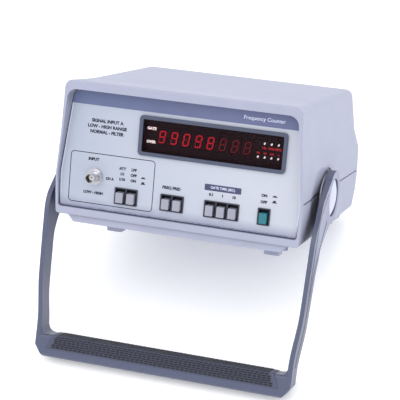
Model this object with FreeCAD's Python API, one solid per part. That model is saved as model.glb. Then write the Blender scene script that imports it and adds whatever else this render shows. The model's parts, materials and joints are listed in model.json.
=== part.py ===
import FreeCAD, Part
import math
import os
from FreeCAD import Matrix, Vector

# A half-rack bench frequency counter standing on its swing handle, in millimetres.
#
# Everything is modelled in the instrument's own axes and stood up on its handle at the end:
# X is to the right seen from the front, Y runs back from the front rim, and Z is up from the
# parting line between the two covers, which is also where X is zero on the centre line.

# ---- Driving dimensions of the case
CASE_DEPTH = 220.0
FRONT_HALF_WIDTH = 115.0
REAR_HALF_WIDTH = 121.0
TOP_HALF_WIDTH = 107.2
TOP_FRONT = 83.6
TOP_REAR = 80.3
BULGE_HEIGHT = 24.0
CREASE_HEIGHT = 41.0
RIM_LEAN = 0.09
BROW_RISE = 2.0
BROW_DEPTH = 45.0
RIM_ROUNDING = 1.5
ROOF_CORNER = 8.0
GROOVE_DEPTH = 0.9
GROOVE_HEIGHT = 1.2
WALL = 2.2
LID = 2.5

# ---- Lower cover: a shallow body with a narrower belly under it
BODY_BOTTOM = -38.4
BELLY_FRONT_Y = 7.0
BELLY_REAR_Y = 215.0
BELLY_FRONT_BOTTOM = -45.0
BELLY_REAR_BOTTOM = -50.0

# ---- Front and rear panels sit against lips inside the covers
FRONT_LIP_Y = 6.0
PANEL_THICKNESS = 2.5
OVERLAY_THICKNESS = 0.5
PANEL_FACE = FRONT_LIP_Y - OVERLAY_THICKNESS
REAR_LIP_Y = 208.0
REAR_PANEL_THICKNESS = 2.0
PANEL_TOP = 77.8
PANEL_TOP_HALF_WIDTH = 105.2
PANEL_MIDDLE_HALF_WIDTH = 112.9
PANEL_BOTTOM = -31.4
PANEL_BOTTOM_HALF_WIDTH = 111.7
STRIP_BOTTOM = 64.0
STRIP_THICKNESS = 0.4
STRIP_MARGIN = 1.7

# ---- Display
BEZEL = (-39.7, 95.5, 24.7, 60.7)
BEZEL_RIM = 3.3
BEZEL_PROUD = 2.0
DIGIT_COUNT = 8
DIGIT_PITCH = 11.2
FIRST_DIGIT_X = -19.6
DIGIT_Z = 42.5
DIGIT_SIZE = (10.8, 7.0, 17.0)
DIGIT_FRONT_Y = 9.4
DISPLAY_BOARD_Y = DIGIT_FRONT_Y + DIGIT_SIZE[1]

# ---- Push buttons: each bezel's left edge and number of buttons
BUTTON_Z = -15.2
BEZEL_HEIGHT = 15.4
WELL_WIDTH = 9.2
WELL_HEIGHT = 13.4
WELL_GAP = 1.2
CAP_WIDTH = 7.0
CAP_HEIGHT = 9.4
CAP_Z = BUTTON_Z - 1.0
CAP_FRONT_Y = 1.0
CAP_LENGTH = 8.0
STEM_HALF = 1.6
SWITCH_FRONT_Y = 20.0
BUTTON_BEZELS = {
    "filter_bezel": (-59.0, ("attenuator_button", "low_pass_button")),
    "function_bezel": (-15.6, ("frequency_button", "period_button")),
    "gate_bezel": (25.2, ("gate_button_short", "gate_button_medium", "gate_button_long")),
    "power_bezel": (74.3, ("power_button",)),
}

# ---- Input socket
SOCKET_X = -78.7
SOCKET_Z = -0.4
SOCKET_BARREL_RADIUS = 4.83
SOCKET_LENGTH = 14.0
PLUG_FIT_LENGTH = 4.4
SOCKET_RELIEF = 0.35

# ---- Main circuit board
BOARD_TOP = -19.6
BOARD_THICKNESS = 1.6
BOARD_FRONT_Y = 17.0
BOARD_REAR_Y = 198.0
BOARD_HALF_WIDTH = 102.0

# ---- Feet
FOOT_X = 77.0
FOOT_ROWS = {"front": 70.0, "rear": 198.0}
FOOT_BOTTOM = -62.0
FOOT_SIZE = 15.0

# ---- Swing handle: it turns on a hub at each side of the case
HUB_Y = 90.0
HUB_Z = -6.0
HUB_RADIUS = 25.0
HUB_INNER_X = 117.0
HUB_OUTER_X = 122.4
SPINDLE_RADIUS = 8.0
BORE_RADIUS = 8.06
FLANGE_RADIUS = 14.0
HUB_CAP_RADIUS = 17.0
HUB_CAP_RISE = 3.2
HUB_RECESS_RADIUS = 17.4
HUB_RIM_X = 124.4
ARM_WIDTH = 20.5
ARM_THICKNESS = 4.4
ARM_LEAN = 7.0
GRIP_Y = 5.8
GRIP_Z = -150.0
GRIP_HALF_LENGTH = 121.5
GRIP_START = 3.0
GRIP_HEIGHT = 21.0
GRIP_CORNER = 4.0
GRIP_PAD_HEIGHT = 12.6
GRIP_PAD_HALF_LENGTH = 105.5
GRIP_FLAT = 0.6

# ---- The pose: the case is tipped up at the front by this many degrees
STAND_ANGLE = 30.2


def box(x0, x1, y0, y1, z0, z1):
    return Part.makeBox(x1 - x0, y1 - y0, z1 - z0, Vector(x0, y0, z0))


def rod(radius, start, end):
    start = Vector(*start)
    length = Vector(*end) - start
    return Part.makeCylinder(radius, length.Length, start, length)


def tube(outer, inner, start, end):
    return rod(outer, start, end).cut(rod(inner, start, end))


def mirrored(shape):
    return shape.mirror(Vector(0, 0, 0), Vector(1, 0, 0))


def both_sides(shape):
    return Part.makeCompound([shape, mirrored(shape)])


def across(y):
    """Places an outline's (u, v) as (x, z) at this depth."""
    return lambda point: Vector(point.x, y, point.y)


def sideways(x):
    """Places an outline's (u, v) as (y, z) at this x."""
    return lambda point: Vector(x, point.x, point.y)


def level(z):
    """Places an outline's (u, v) as (x, y) at this height."""
    return lambda point: Vector(point.x, point.y, z)


def rounded_wire(corners, place):
    """A closed wire through (u, v, radius) corners, with an arc at each corner that has a radius."""
    count = len(corners)
    cuts = []
    for index in range(count):
        u, v, radius = corners[index]
        here = Vector(u, v, 0)
        before = Vector(corners[index - 1][0], corners[index - 1][1], 0)
        after = Vector(corners[(index + 1) % count][0], corners[(index + 1) % count][1], 0)
        if radius == 0:
            cuts.append((here, here, here))
            continue
        to_before = (before - here).normalize()
        to_after = (after - here).normalize()
        half_angle = to_before.getAngle(to_after) / 2
        reach = radius / math.tan(half_angle)
        inward = (to_before + to_after).normalize()
        middle = here + inward * (radius / math.sin(half_angle) - radius)
        cuts.append((here + to_before * reach, middle, here + to_after * reach))
    edges = []
    for index in range(count):
        start, middle, end = (place(point) for point in cuts[index])
        if corners[index][2] > 0:
            edges.append(Part.Arc(start, middle, end).toShape())
        edges.append(Part.LineSegment(end, place(cuts[(index + 1) % count][0])).toShape())
    return Part.Wire(edges)


def prism(corners, place, length):
    return Part.Face(rounded_wire(corners, place)).extrude(Vector(*length))


def rounded_plate(x0, x1, z0, z1, radius, y0, y1):
    """A plate facing the front, with rounded corners."""
    corners = [(x0, z0, radius), (x1, z0, radius), (x1, z1, radius), (x0, z1, radius)]
    return prism(corners, across(y0), (0, y1 - y0, 0))


def symmetric(right_side):
    """Corners of a whole outline from its right-hand corners, listed from the bottom up."""
    left_side = [(-u, v, radius) for u, v, radius in reversed(right_side)]
    return right_side + left_side


def along(front, rear, y):
    return front + (rear - front) * y / CASE_DEPTH


# ---- Case volumes

def brow(y):
    """How far the roof flares up at this depth, towards the front rim."""
    return BROW_RISE * max(0, 1 - y / BROW_DEPTH)


def upper_section(y, wall, lid, radius, flare=0):
    """The upper cover across the case: a slanted side that bulges out below its crease."""
    parting = along(FRONT_HALF_WIDTH, REAR_HALF_WIDTH, y) - wall
    bulge = along(112.8, 119.7, y) - wall
    crease = along(111.2, 113.8, y) - wall
    top = along(TOP_FRONT, TOP_REAR, y) - lid + flare
    side = [(parting, 0, 0), (bulge, BULGE_HEIGHT, 9), (crease, CREASE_HEIGHT, 2),
            (TOP_HALF_WIDTH - wall + flare / 2, top, radius)]
    return rounded_wire(symmetric(side), across(y))


def lower_section(y, wall, floor):
    """The lower cover's body across the case, down to the ledge that its belly hangs from."""
    parting = along(FRONT_HALF_WIDTH, REAR_HALF_WIDTH, y) - wall
    waist = along(114.8, 120.6, y) - wall
    bottom = along(114.0, 118.6, y) - wall
    side = [(bottom, BODY_BOTTOM + floor, 3), (waist, -19, 0), (parting, 0, 0)]
    return rounded_wire(symmetric(side), across(y))


def belly_section(y, wall, floor):
    """The belly across the case: chamfered sides and a flat bottom."""
    shoulder = along(104.0, 114.0, y) - wall
    bottom = along(97.0, 108.0, y) - wall
    depth = along(BELLY_FRONT_BOTTOM, BELLY_REAR_BOTTOM, y) + floor
    side = [(bottom, depth, 0), (shoulder, BODY_BOTTOM + 1, 0), (shoulder, BODY_BOTTOM + 6, 0)]
    return rounded_wire(symmetric(side), across(y))


def between(section, y0, y1, *details):
    return Part.makeLoft([section(y0, *details), section(y1, *details)], True, True)


def rim_bounds():
    """Everything behind the leaning front rim and inside the rounded rear edges."""
    high = TOP_FRONT + 2 * BROW_RISE
    low = -60.0
    corners = [(-RIM_LEAN * low, low, 0), (CASE_DEPTH, low, 0), (CASE_DEPTH, TOP_REAR + 0.02, 7),
               (BROW_DEPTH, along(TOP_FRONT, TOP_REAR, BROW_DEPTH) + 0.1, 0), (-RIM_LEAN * high, high, 0)]
    return prism(corners, sideways(-150), (300, 0, 0))


def rounded_rim(shell):
    """Rounds the outer edge of the front rim, but not where the two covers meet."""
    edges = []
    for edge in shell.Edges:
        ends = [vertex.Point for vertex in edge.Vertexes]
        on_rim = all(abs(point.y + RIM_LEAN * point.z) < 0.01 for point in ends)
        if on_rim and max(abs(point.z) for point in ends) > 0.01:
            edges.append(edge)
    return shell.makeFillet(RIM_ROUNDING, edges)


def panel_outline(shrink):
    side = [(PANEL_BOTTOM_HALF_WIDTH - shrink, PANEL_BOTTOM + shrink, 3),
            (PANEL_MIDDLE_HALF_WIDTH - shrink, 0, 0),
            (PANEL_TOP_HALF_WIDTH - shrink, PANEL_TOP - shrink, 9 - shrink)]
    return symmetric(side)


def front_opening():
    return prism(panel_outline(0), across(-30), (0, 30 + FRONT_LIP_Y, 0))


def rear_opening():
    side = [(108.0, -33.0, 5), (112.0, 0, 0), (100.0, 72.0, 7)]
    return prism(symmetric(side), across(REAR_LIP_Y), (0, 40, 0))


def side_dishes(grow):
    """Shallow dishes in both sides of the case, and the round wells that the hubs sit in."""
    chord = 38.0
    depth = 3.2
    radius = (chord ** 2 + depth ** 2) / (2 * depth)
    surface_x = along(FRONT_HALF_WIDTH, REAR_HALF_WIDTH, 60)
    ball = Part.makeSphere(radius + grow, Vector(surface_x + radius - depth, 60, 0))
    well = rod(HUB_RADIUS + 2 + grow, (115.0 - grow, HUB_Y, HUB_Z), (140, HUB_Y, HUB_Z))
    reach = box(100, 140, 0, 150, -70, 60)
    right = ball.common(reach).fuse(well)
    return right.fuse(mirrored(right))


def lower_outside():
    body = between(lower_section, -15, CASE_DEPTH, 0, 0)
    belly = between(belly_section, BELLY_FRONT_Y, BELLY_REAR_Y, 0, 0)
    return rounded_rim(body.common(rim_bounds())).fuse(belly)


def chamber():
    """The hollow inside both covers, between the two panel lips."""
    upper = between(upper_section, FRONT_LIP_Y, REAR_LIP_Y, WALL, LID, 6)
    lower = between(lower_section, FRONT_LIP_Y, REAR_LIP_Y, WALL, WALL)
    belly = between(belly_section, BELLY_FRONT_Y + 3, REAR_LIP_Y - 2, WALL + 0.6, LID)
    whole = upper.fuse(lower).fuse(belly)
    return whole.cut(side_dishes(WALL))


def spindle_holes():
    """Holes for the handle's spindles, and seats for their flanges inside."""
    right = rod(SPINDLE_RADIUS + 0.1, (105, HUB_Y, HUB_Z), (130, HUB_Y, HUB_Z))
    seat = rod(FLANGE_RADIUS + 0.1, (105, HUB_Y, HUB_Z), (115.0 - WALL, HUB_Y, HUB_Z))
    right = right.fuse(seat)
    return right.fuse(mirrored(right))


# ---- Covers

POSTS = [(side * 97.0, y) for side in (-1, 1) for y in (19.0, 196.0)]
VENT_X = 52.0
VENT_COUNT = 9
VENT_START_Y = 88.0
VENT_PITCH = 6.0
STANDOFFS = [(side * 60.0, y) for side in (-1, 1) for y in (28.0, 120.0)]


def upper_cover(hollow):
    wires = [upper_section(y, 0, 0, ROOF_CORNER, brow(y)) for y in (-15, BROW_DEPTH, CASE_DEPTH)]
    shell = Part.makeLoft(wires, True, True)
    shell = rounded_rim(shell.common(rim_bounds()))
    for void in (front_opening(), hollow, rear_opening(), side_dishes(0), spindle_holes()):
        shell = shell.cut(void)
    outer = between(upper_section, -15, CASE_DEPTH + 5, -5, 0, ROOF_CORNER)
    inner = between(upper_section, -15, CASE_DEPTH + 5, GROOVE_DEPTH, 0, ROOF_CORNER)
    groove = outer.cut(inner).common(box(-150, 150, 3, 250, 0, GROOVE_HEIGHT))
    shell = shell.cut(groove)
    posts = [tube(4.5, 1.4, (x, y, 0), (x, y, TOP_REAR - 1)) for x, y in POSTS]
    return shell.fuse(posts).removeSplitter()


def lower_cover(hollow):
    shell = lower_outside()
    for void in (front_opening(), hollow, rear_opening(), side_dishes(0), spindle_holes()):
        shell = shell.cut(void)
    posts = [rod(4.5, (x, y, along(-44.5, -49.5, y)), (x, y, 0)) for x, y in POSTS]
    under_board = BOARD_TOP - BOARD_THICKNESS
    posts += [rod(4.0, (x, y, along(-44, -49, y)), (x, y, under_board)) for x, y in STANDOFFS]
    shell = shell.fuse(posts)
    for x, y in POSTS:
        shell = shell.cut(rod(1.7, (x, y, -60), (x, y, 1)))
        shell = shell.cut(rod(3.2, (x, y, -60), (x, y, -38)))
    for x, y in STANDOFFS:
        shell = shell.cut(rod(1.2, (x, y, -34), (x, y, 0)))
    for side in (-1, 1):
        for row in range(VENT_COUNT):
            y = VENT_START_Y + VENT_PITCH * row
            shell = shell.cut(box(side * VENT_X - 20, side * VENT_X + 20, y, y + 2.4, -60, -40))
    for x, y in foot_places():
        shell = shell.cut(rod(1.5, (x, y, -60), (x, y, -40)))
    return shell.removeSplitter()


def case_screws():
    """The four long screws that come up from below and hold the covers together."""
    screws = []
    for x, y in POSTS:
        shank = rod(1.4, (x, y, -38), (x, y, 12))
        head = rod(2.9, (x, y, -40.4), (x, y, -38)).cut(cross_slot(x, y, -40.5, 1.2))
        screws.append(shank.fuse(head))
    return Part.makeCompound(screws)


def cross_slot(x, y, z, depth):
    """A cross-head recess, opening downwards at z."""
    one = box(x - 1.7, x + 1.7, y - 0.35, y + 0.35, z, z + depth)
    return one.fuse(box(x - 0.35, x + 0.35, y - 1.7, y + 1.7, z, z + depth))


# ---- Front panel

def socket_hole():
    return rod(5.2, (SOCKET_X, 0, SOCKET_Z), (SOCKET_X, 20, SOCKET_Z))


def bezel_width(count):
    return count * WELL_WIDTH + (count + 1) * WELL_GAP


def well_centres(bezel_x, count):
    return [bezel_x + WELL_GAP + WELL_WIDTH / 2 + index * (WELL_WIDTH + WELL_GAP) for index in range(count)]


def panel_holes():
    """Openings for the display, the button bezels and the input socket."""
    x0, x1, z0, z1 = BEZEL
    holes = rounded_plate(x0 + 1.6, x1 - 1.6, z0 + 1.6, z1 - 1.6, 2, -5, 20).fuse(socket_hole())
    for bezel_x, buttons in BUTTON_BEZELS.values():
        width = bezel_width(len(buttons))
        holes = holes.fuse(box(bezel_x + 0.6, bezel_x + width - 0.6, -5, 20,
                               BUTTON_Z - BEZEL_HEIGHT / 2 + 0.6, BUTTON_Z + BEZEL_HEIGHT / 2 - 0.6))
    return holes


def front_panel(hollow, holes):
    """A moulded plate behind the front lip, cut to the hollow's own shape."""
    slab = box(-130, 130, FRONT_LIP_Y, FRONT_LIP_Y + PANEL_THICKNESS, PANEL_BOTTOM - 3, PANEL_TOP + 3)
    plate = hollow.common(slab).cut(holes)
    return Part.makeCompound(plate.Solids)


def panel_overlay(holes):
    film = prism(panel_outline(0.15), across(PANEL_FACE), (0, OVERLAY_THICKNESS, 0))
    return film.cut(holes)


def title_strip():
    """The coloured strip along the top of the panel, which carries the instrument's title."""
    film = prism(panel_outline(STRIP_MARGIN), across(PANEL_FACE - STRIP_THICKNESS), (0, STRIP_THICKNESS, 0))
    return film.common(box(-130, 130, 0, 10, STRIP_BOTTOM, PANEL_TOP))


def display_bezel():
    """A raised frame with a sleeve through the panel that holds the window."""
    x0, x1, z0, z1 = BEZEL
    rim = BEZEL_RIM
    flange = rounded_plate(x0, x1, z0, z1, 3.5, PANEL_FACE - BEZEL_PROUD, PANEL_FACE)
    inset = 1.8
    sleeve = rounded_plate(x0 + inset, x1 - inset, z0 + inset, z1 - inset, 1.8, PANEL_FACE,
                           FRONT_LIP_Y + PANEL_THICKNESS)
    frame = flange.fuse(sleeve)
    frame = frame.cut(rounded_plate(x0 + rim, x1 - rim, z0 + rim, z1 - rim, 1.2, 0, 20))
    edge = rim - 0.7
    seat = rounded_plate(x0 + edge, x1 - edge, z0 + edge, z1 - edge, 1, 5.0, 20)
    return frame.cut(seat)


def display_window():
    x0, x1, z0, z1 = BEZEL
    edge = BEZEL_RIM - 0.65
    return rounded_plate(x0 + edge, x1 - edge, z0 + edge, z1 - edge, 1, 5.0, 7.0)


def display_board():
    board = box(-48, 91.5, DISPLAY_BOARD_Y, DISPLAY_BOARD_Y + 1.6, -14.5, 66)
    for x in (-44, 87):
        board = board.cut(rod(1.3, (x, 0, 63), (x, 30, 63)))
    for bezel_x, buttons in BUTTON_BEZELS.values():
        for x in well_centres(bezel_x, len(buttons)):
            board = board.cut(box(x - 2.6, x + 2.6, 0, 30, BUTTON_Z - 3, BUTTON_Z + 3.2))
    return board


def led_digits():
    width, depth, height = DIGIT_SIZE
    digits = []
    for index in range(DIGIT_COUNT):
        x = FIRST_DIGIT_X + index * DIGIT_PITCH
        digits.append(box(x - width / 2, x + width / 2, DIGIT_FRONT_Y, DIGIT_FRONT_Y + depth,
                          DIGIT_Z - height / 2, DIGIT_Z + height / 2))
    return Part.makeCompound(digits)


def indicator_leds():
    """Two bar lamps left of the digits, and three over four dot lamps right of them."""
    lamps = [box(-32.5, -27.5, 10.4, DISPLAY_BOARD_Y, z - 1.3, z + 1.3) for z in (49, 37)]
    upper = [(73.8 + 6.3 * index, 48.3) for index in range(3)]
    lower = [(68.7 + 6.1 * index, 36.2) for index in range(4)]
    lamps += [rod(1.5, (x, 10.4, z), (x, DISPLAY_BOARD_Y, z)) for x, z in upper + lower]
    return Part.makeCompound(lamps)


# ---- Buttons

def button_bezel(bezel_x, count):
    """A dark frame round a group of wells, with a short sleeve through the panel."""
    width = bezel_width(count)
    z0 = BUTTON_Z - BEZEL_HEIGHT / 2
    z1 = BUTTON_Z + BEZEL_HEIGHT / 2
    frame = rounded_plate(bezel_x, bezel_x + width, z0, z1, 0.8, PANEL_FACE - 0.6, PANEL_FACE)
    sleeve = box(bezel_x + 0.7, bezel_x + width - 0.7, PANEL_FACE, 13.5, z0 + 0.7, z1 - 0.7)
    frame = frame.fuse(sleeve)
    for x in well_centres(bezel_x, count):
        frame = frame.cut(box(x - WELL_WIDTH / 2, x + WELL_WIDTH / 2, 0, 30,
                              BUTTON_Z - WELL_HEIGHT / 2, BUTTON_Z + WELL_HEIGHT / 2))
    return frame


def push_button(x):
    """A rounded cap on a square stem that goes into its switch."""
    cap = rounded_plate(x - CAP_WIDTH / 2, x + CAP_WIDTH / 2, CAP_Z - CAP_HEIGHT / 2,
                        CAP_Z + CAP_HEIGHT / 2, 0.7, CAP_FRONT_Y, CAP_FRONT_Y + CAP_LENGTH)
    front_edges = [edge for edge in cap.Edges if edge.BoundBox.YMax < CAP_FRONT_Y + 0.01]
    cap = cap.makeFillet(0.5, front_edges)
    stem = box(x - STEM_HALF, x + STEM_HALF, CAP_FRONT_Y + CAP_LENGTH - 1, SWITCH_FRONT_Y + 4,
               BUTTON_Z - STEM_HALF, BUTTON_Z + STEM_HALF)
    return cap.fuse(stem)


def switch_body(x, width, length):
    """A switch on the main board, hollow where the stem slides in."""
    top = BUTTON_Z + 4.6
    body = box(x - width / 2, x + width / 2, SWITCH_FRONT_Y, SWITCH_FRONT_Y + length, BOARD_TOP, top)
    slot = STEM_HALF + 0.4
    return body.cut(box(x - slot, x + slot, SWITCH_FRONT_Y - 1, SWITCH_FRONT_Y + 10,
                        BUTTON_Z - slot, BUTTON_Z + slot))


def switch_bodies():
    shapes = {"signal_switches": [], "power_switch": []}
    for name, (bezel_x, buttons) in BUTTON_BEZELS.items():
        power = name == "power_bezel"
        for x in well_centres(bezel_x, len(buttons)):
            body = switch_body(x, 13.0, 26.0) if power else switch_body(x, 8.4, 16.0)
            shapes["power_switch" if power else "signal_switches"].append(body)
    return {name: Part.makeCompound(bodies) for name, bodies in shapes.items()}


# ---- Input socket

def socket_rod(radius, y0, y1):
    return rod(radius, (SOCKET_X, y0, SOCKET_Z), (SOCKET_X, y1, SOCKET_Z))


def bnc_body():
    """The bayonet barrel with its two studs, a shoulder on the panel and a threaded tail."""
    tip = PANEL_FACE - SOCKET_LENGTH
    barrel = socket_rod(SOCKET_BARREL_RADIUS, tip, tip + PLUG_FIT_LENGTH)
    barrel = barrel.fuse(socket_rod(SOCKET_BARREL_RADIUS - SOCKET_RELIEF, tip, PANEL_FACE - 1.6))
    shoulder = socket_rod(7.6, PANEL_FACE - 1.6, PANEL_FACE)
    collar = socket_rod(6.0, PANEL_FACE - 4.6, PANEL_FACE - 1.6)
    tail = socket_rod(5.2, PANEL_FACE, 18.0)
    studs = rod(1.0, (SOCKET_X - 5.6, tip + 5.6, SOCKET_Z), (SOCKET_X + 5.6, tip + 5.6, SOCKET_Z))
    body = barrel.fuse([shoulder, collar, tail, studs])
    body = body.cut(socket_rod(4.05, tip - 1, PANEL_FACE - 2))
    return body.cut(socket_rod(3.2, PANEL_FACE - 3, 30))


def bnc_insulator():
    """The white sleeve round the centre contact."""
    front = PANEL_FACE - 9.0
    sleeve = socket_rod(2.5, front, PANEL_FACE - 2).fuse(socket_rod(3.2, PANEL_FACE - 2, 18.0))
    return sleeve.cut(socket_rod(1.1, front - 1, 30))


def bnc_contact():
    pin = socket_rod(1.1, PANEL_FACE - 8.8, 23.0)
    return pin.cut(socket_rod(0.5, PANEL_FACE - 9, PANEL_FACE - 3))


def bnc_nut():
    """The hexagon nut and its washer behind the panel."""
    back = FRONT_LIP_Y + PANEL_THICKNESS
    flats = []
    for index in range(6):
        turn = math.radians(60 * index)
        flats.append((SOCKET_X + 8.1 * math.cos(turn), SOCKET_Z + 8.1 * math.sin(turn), 0))
    nut = prism(flats, across(back + 0.8), (0, 2.6, 0)).fuse(socket_rod(8.0, back, back + 0.8))
    return nut.cut(socket_rod(5.2, 0, 30))


def input_shield():
    """A folded metal can over the input amplifier, open at the front for the socket's tail."""
    can = box(-99, -64, 27, 66, BOARD_TOP, 16).cut(box(-98.4, -64.6, 27.6, 65.4, BOARD_TOP - 1, 15.4))
    can = can.cut(rod(4, (SOCKET_X, 20, SOCKET_Z), (SOCKET_X, 30, SOCKET_Z)))
    for x in (-92, -82, -72):
        can = can.cut(rod(1.6, (x, 46, 10), (x, 46, 20)))
    return can


# ---- Inside the case

TRANSFORMER = (-88.0, -36.0, 138.0, 182.0)
HEAT_SINK = (52.0, 86.0, 178.0, 194.0)


def main_board():
    x0, x1, y0, y1 = TRANSFORMER
    board = box(-BOARD_HALF_WIDTH, BOARD_HALF_WIDTH, BOARD_FRONT_Y, BOARD_REAR_Y,
                BOARD_TOP - BOARD_THICKNESS, BOARD_TOP)
    board = board.cut(box(-110, x1 + 4, y0 - 6, 210, -60, 0))
    for x, y in POSTS:
        board = board.cut(rod(5.2, (x, y, -60), (x, y, 0)))
    for side in (-1, 1):
        board = board.cut(box(side * 108 - 12, side * 108 + 12, HUB_Y - 20, HUB_Y + 20, -60, 0))
    for x, y in STANDOFFS:
        board = board.cut(rod(1.4, (x, y, -60), (x, y, 0)))
    return board


def board_screws():
    screws = []
    for x, y in STANDOFFS:
        shank = rod(1.2, (x, y, -33), (x, y, BOARD_TOP))
        screws.append(shank.fuse(rod(2.6, (x, y, BOARD_TOP), (x, y, BOARD_TOP + 1.8))))
    return Part.makeCompound(screws)


def logic_chips():
    """Two rows of dual in-line packages, with a larger counter chip behind them."""
    chips = []
    for row, y in enumerate((58.0, 84.0)):
        for column in range(5):
            x = -38 + 25 * column
            chips.append(dual_in_line(x, y, 7.0, 19.5))
    chips.append(dual_in_line(-4, 116, 14.0, 52.0, turned=True))
    return Part.makeCompound(chips)


def dual_in_line(x, y, width, length, turned=False):
    half_x = length / 2 if turned else width / 2
    half_y = width / 2 if turned else length / 2
    body = box(x - half_x, x + half_x, y - half_y, y + half_y, BOARD_TOP + 0.6, BOARD_TOP + 4.2)
    legs = []
    for index in range(int(length / 2.54)):
        step = (index + 0.5) * 2.54 - int(length / 2.54) * 1.27
        for side in (-1, 1):
            if turned:
                legs.append(box(x + step - 0.25, x + step + 0.25, y + side * (half_y + 0.4) - 0.4,
                                y + side * (half_y + 0.4) + 0.4, BOARD_TOP, BOARD_TOP + 2.2))
            else:
                legs.append(box(x + side * (half_x + 0.4) - 0.4, x + side * (half_x + 0.4) + 0.4,
                                y + step - 0.25, y + step + 0.25, BOARD_TOP, BOARD_TOP + 2.2))
    return body.fuse(legs)


def crystal_oscillator():
    can = box(70, 91, 54, 75, BOARD_TOP, BOARD_TOP + 10)
    upright = [edge for edge in can.Edges if edge.BoundBox.ZLength > 5]
    return can.makeFillet(3, upright)


def filter_capacitors():
    cans = [rod(9, (x, 160, BOARD_TOP), (x, 160, BOARD_TOP + 32)) for x in (-14, 8)]
    cans += [rod(5, (x, 150, BOARD_TOP), (x, 150, BOARD_TOP + 14)) for x in (28, 42)]
    return Part.makeCompound(cans)


def heat_sink():
    """A back plate with upright fins."""
    x0, x1, y0, y1 = HEAT_SINK
    sink = box(x0, x1, y0, y0 + 2.5, BOARD_TOP, BOARD_TOP + 34)
    for index in range(9):
        left = x0 + 4 * index
        sink = sink.fuse(box(left, left + 1.6, y0 + 2, y1, BOARD_TOP, BOARD_TOP + 34))
    return sink


def regulators():
    """Two power regulators bolted flat to the front of the heat sink."""
    y = HEAT_SINK[2]
    parts = []
    for x in (61, 77):
        body = box(x - 5, x + 5, y - 4.4, y - 1.2, BOARD_TOP + 6, BOARD_TOP + 15)
        tab = box(x - 5, x + 5, y - 1.2, y, BOARD_TOP + 6, BOARD_TOP + 21)
        legs = [box(x + step - 0.4, x + step + 0.4, y - 3.4, y - 2.8, BOARD_TOP, BOARD_TOP + 6)
                for step in (-2.5, 0, 2.5)]
        parts.append(body.fuse([tab] + legs))
    return Part.makeCompound(parts)


def transformer_core():
    x0, x1, y0, y1 = TRANSFORMER
    core = box(x0, x1, y0 + 12, y1 - 12, -34, 14)
    return core.cut(box(x0 + 9, x0 + 18, y0, y1, -25, 5)).cut(box(x1 - 18, x1 - 9, y0, y1, -25, 5))


def transformer_windings():
    """The coils on the middle limb."""
    x0, x1, y0, y1 = TRANSFORMER
    outer = box(x0 + 9.2, x1 - 9.2, y0, y1, -24.8, 4.8)
    return outer.cut(box(x0 + 18, x1 - 18, y0 + 12, y1 - 12, -30, 10))


def transformer_bracket():
    """A strap over the core with two ears that reach down to the lower cover's bosses."""
    x0, x1, y0, y1 = TRANSFORMER
    floor = -46.0
    strap = box(x0 - 1.2, x1 + 1.2, y0 + 16, y1 - 16, floor, 15.2).cut(box(x0, x1, 0, 250, -34, 14))
    return strap.cut(box(x0 + 4, x1 - 4, 0, 250, -60, -35.2))


def ribbon_cable():
    """A flat cable that runs from the display board down to the main board in two bends."""
    y0 = DISPLAY_BOARD_Y + 1.6
    path = [(y0, 30, 0), (y0 + 15, 30, 5), (y0 + 15, BOARD_TOP, 0), (y0 + 14, BOARD_TOP, 0),
            (y0 + 14, 29, 4), (y0, 29, 0)]
    return prism(path, sideways(6), (20, 0, 0))


# ---- Rear panel

INLET_X = -60.0
INLET_Z = 20.0
FUSE_X = -20.0
SELECTOR_X = 12.0
REAR_FACE = REAR_LIP_Y


def rear_panel(hollow):
    front = REAR_LIP_Y - REAR_PANEL_THICKNESS
    plate = hollow.common(box(-130, 130, front, REAR_LIP_Y, -36, 76))
    plate = plate.cut(rounded_plate(INLET_X - 13.8, INLET_X + 13.8, INLET_Z - 10, INLET_Z + 10, 2,
                                    190, 230))
    plate = plate.cut(rod(6.1, (FUSE_X, 190, INLET_Z), (FUSE_X, 230, INLET_Z)))
    plate = plate.cut(box(SELECTOR_X - 8, SELECTOR_X + 8, 190, 230, INLET_Z - 4, INLET_Z + 4))
    for index in range(12):
        x = 38 + 4.8 * index
        plate = plate.cut(rounded_plate(x, x + 2.4, 2, 50, 1.1, 190, 230))
    return Part.makeCompound(plate.Solids)


def mains_inlet():
    """A three-pin appliance inlet: a flanged housing with a deep socket."""
    flange = rounded_plate(INLET_X - 20, INLET_X + 20, INLET_Z - 12, INLET_Z + 12, 5,
                           REAR_FACE, REAR_FACE + 2.5)
    shell = rounded_plate(INLET_X - 13.6, INLET_X + 13.6, INLET_Z - 9.8, INLET_Z + 9.8, 2,
                          190, REAR_FACE)
    housing = flange.fuse(shell)
    corners = [(-12, -8), (12, -8), (12, 3), (7, 8), (-7, 8), (-12, 3)]
    socket = [(INLET_X + x, INLET_Z + z, 1) for x, z in corners]
    housing = housing.cut(prism(socket, across(194), (0, 30, 0)))
    return housing.cut(inlet_pins())


def inlet_pins():
    places = ((-7, -2), (0, 2), (7, -2))
    pins = [box(INLET_X + x - 1, INLET_X + x + 1, 184, 207, INLET_Z + z - 2, INLET_Z + z + 2)
            for x, z in places]
    return Part.makeCompound(pins)


def fuse_rod(radius, y0, y1):
    return rod(radius, (FUSE_X, y0, INLET_Z), (FUSE_X, y1, INLET_Z))


def fuse_holder():
    """A panel fuse holder: a flanged barrel, closed at its inner end."""
    body = fuse_rod(6.0, 178, REAR_FACE).fuse(fuse_rod(8.5, REAR_FACE, REAR_FACE + 2.2))
    return body.cut(fuse_rod(4.6, 180, 240))


def fuse_cap():
    """The bayonet cap, with a coin slot across its end and a stub that carries the fuse."""
    cap = fuse_rod(7.2, REAR_FACE + 2.5, REAR_FACE + 6.5).fuse(fuse_rod(4.2, 186, REAR_FACE + 3))
    return cap.cut(box(FUSE_X - 5, FUSE_X + 5, REAR_FACE + 5, REAR_FACE + 8, INLET_Z - 0.7, INLET_Z + 0.7))


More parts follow.
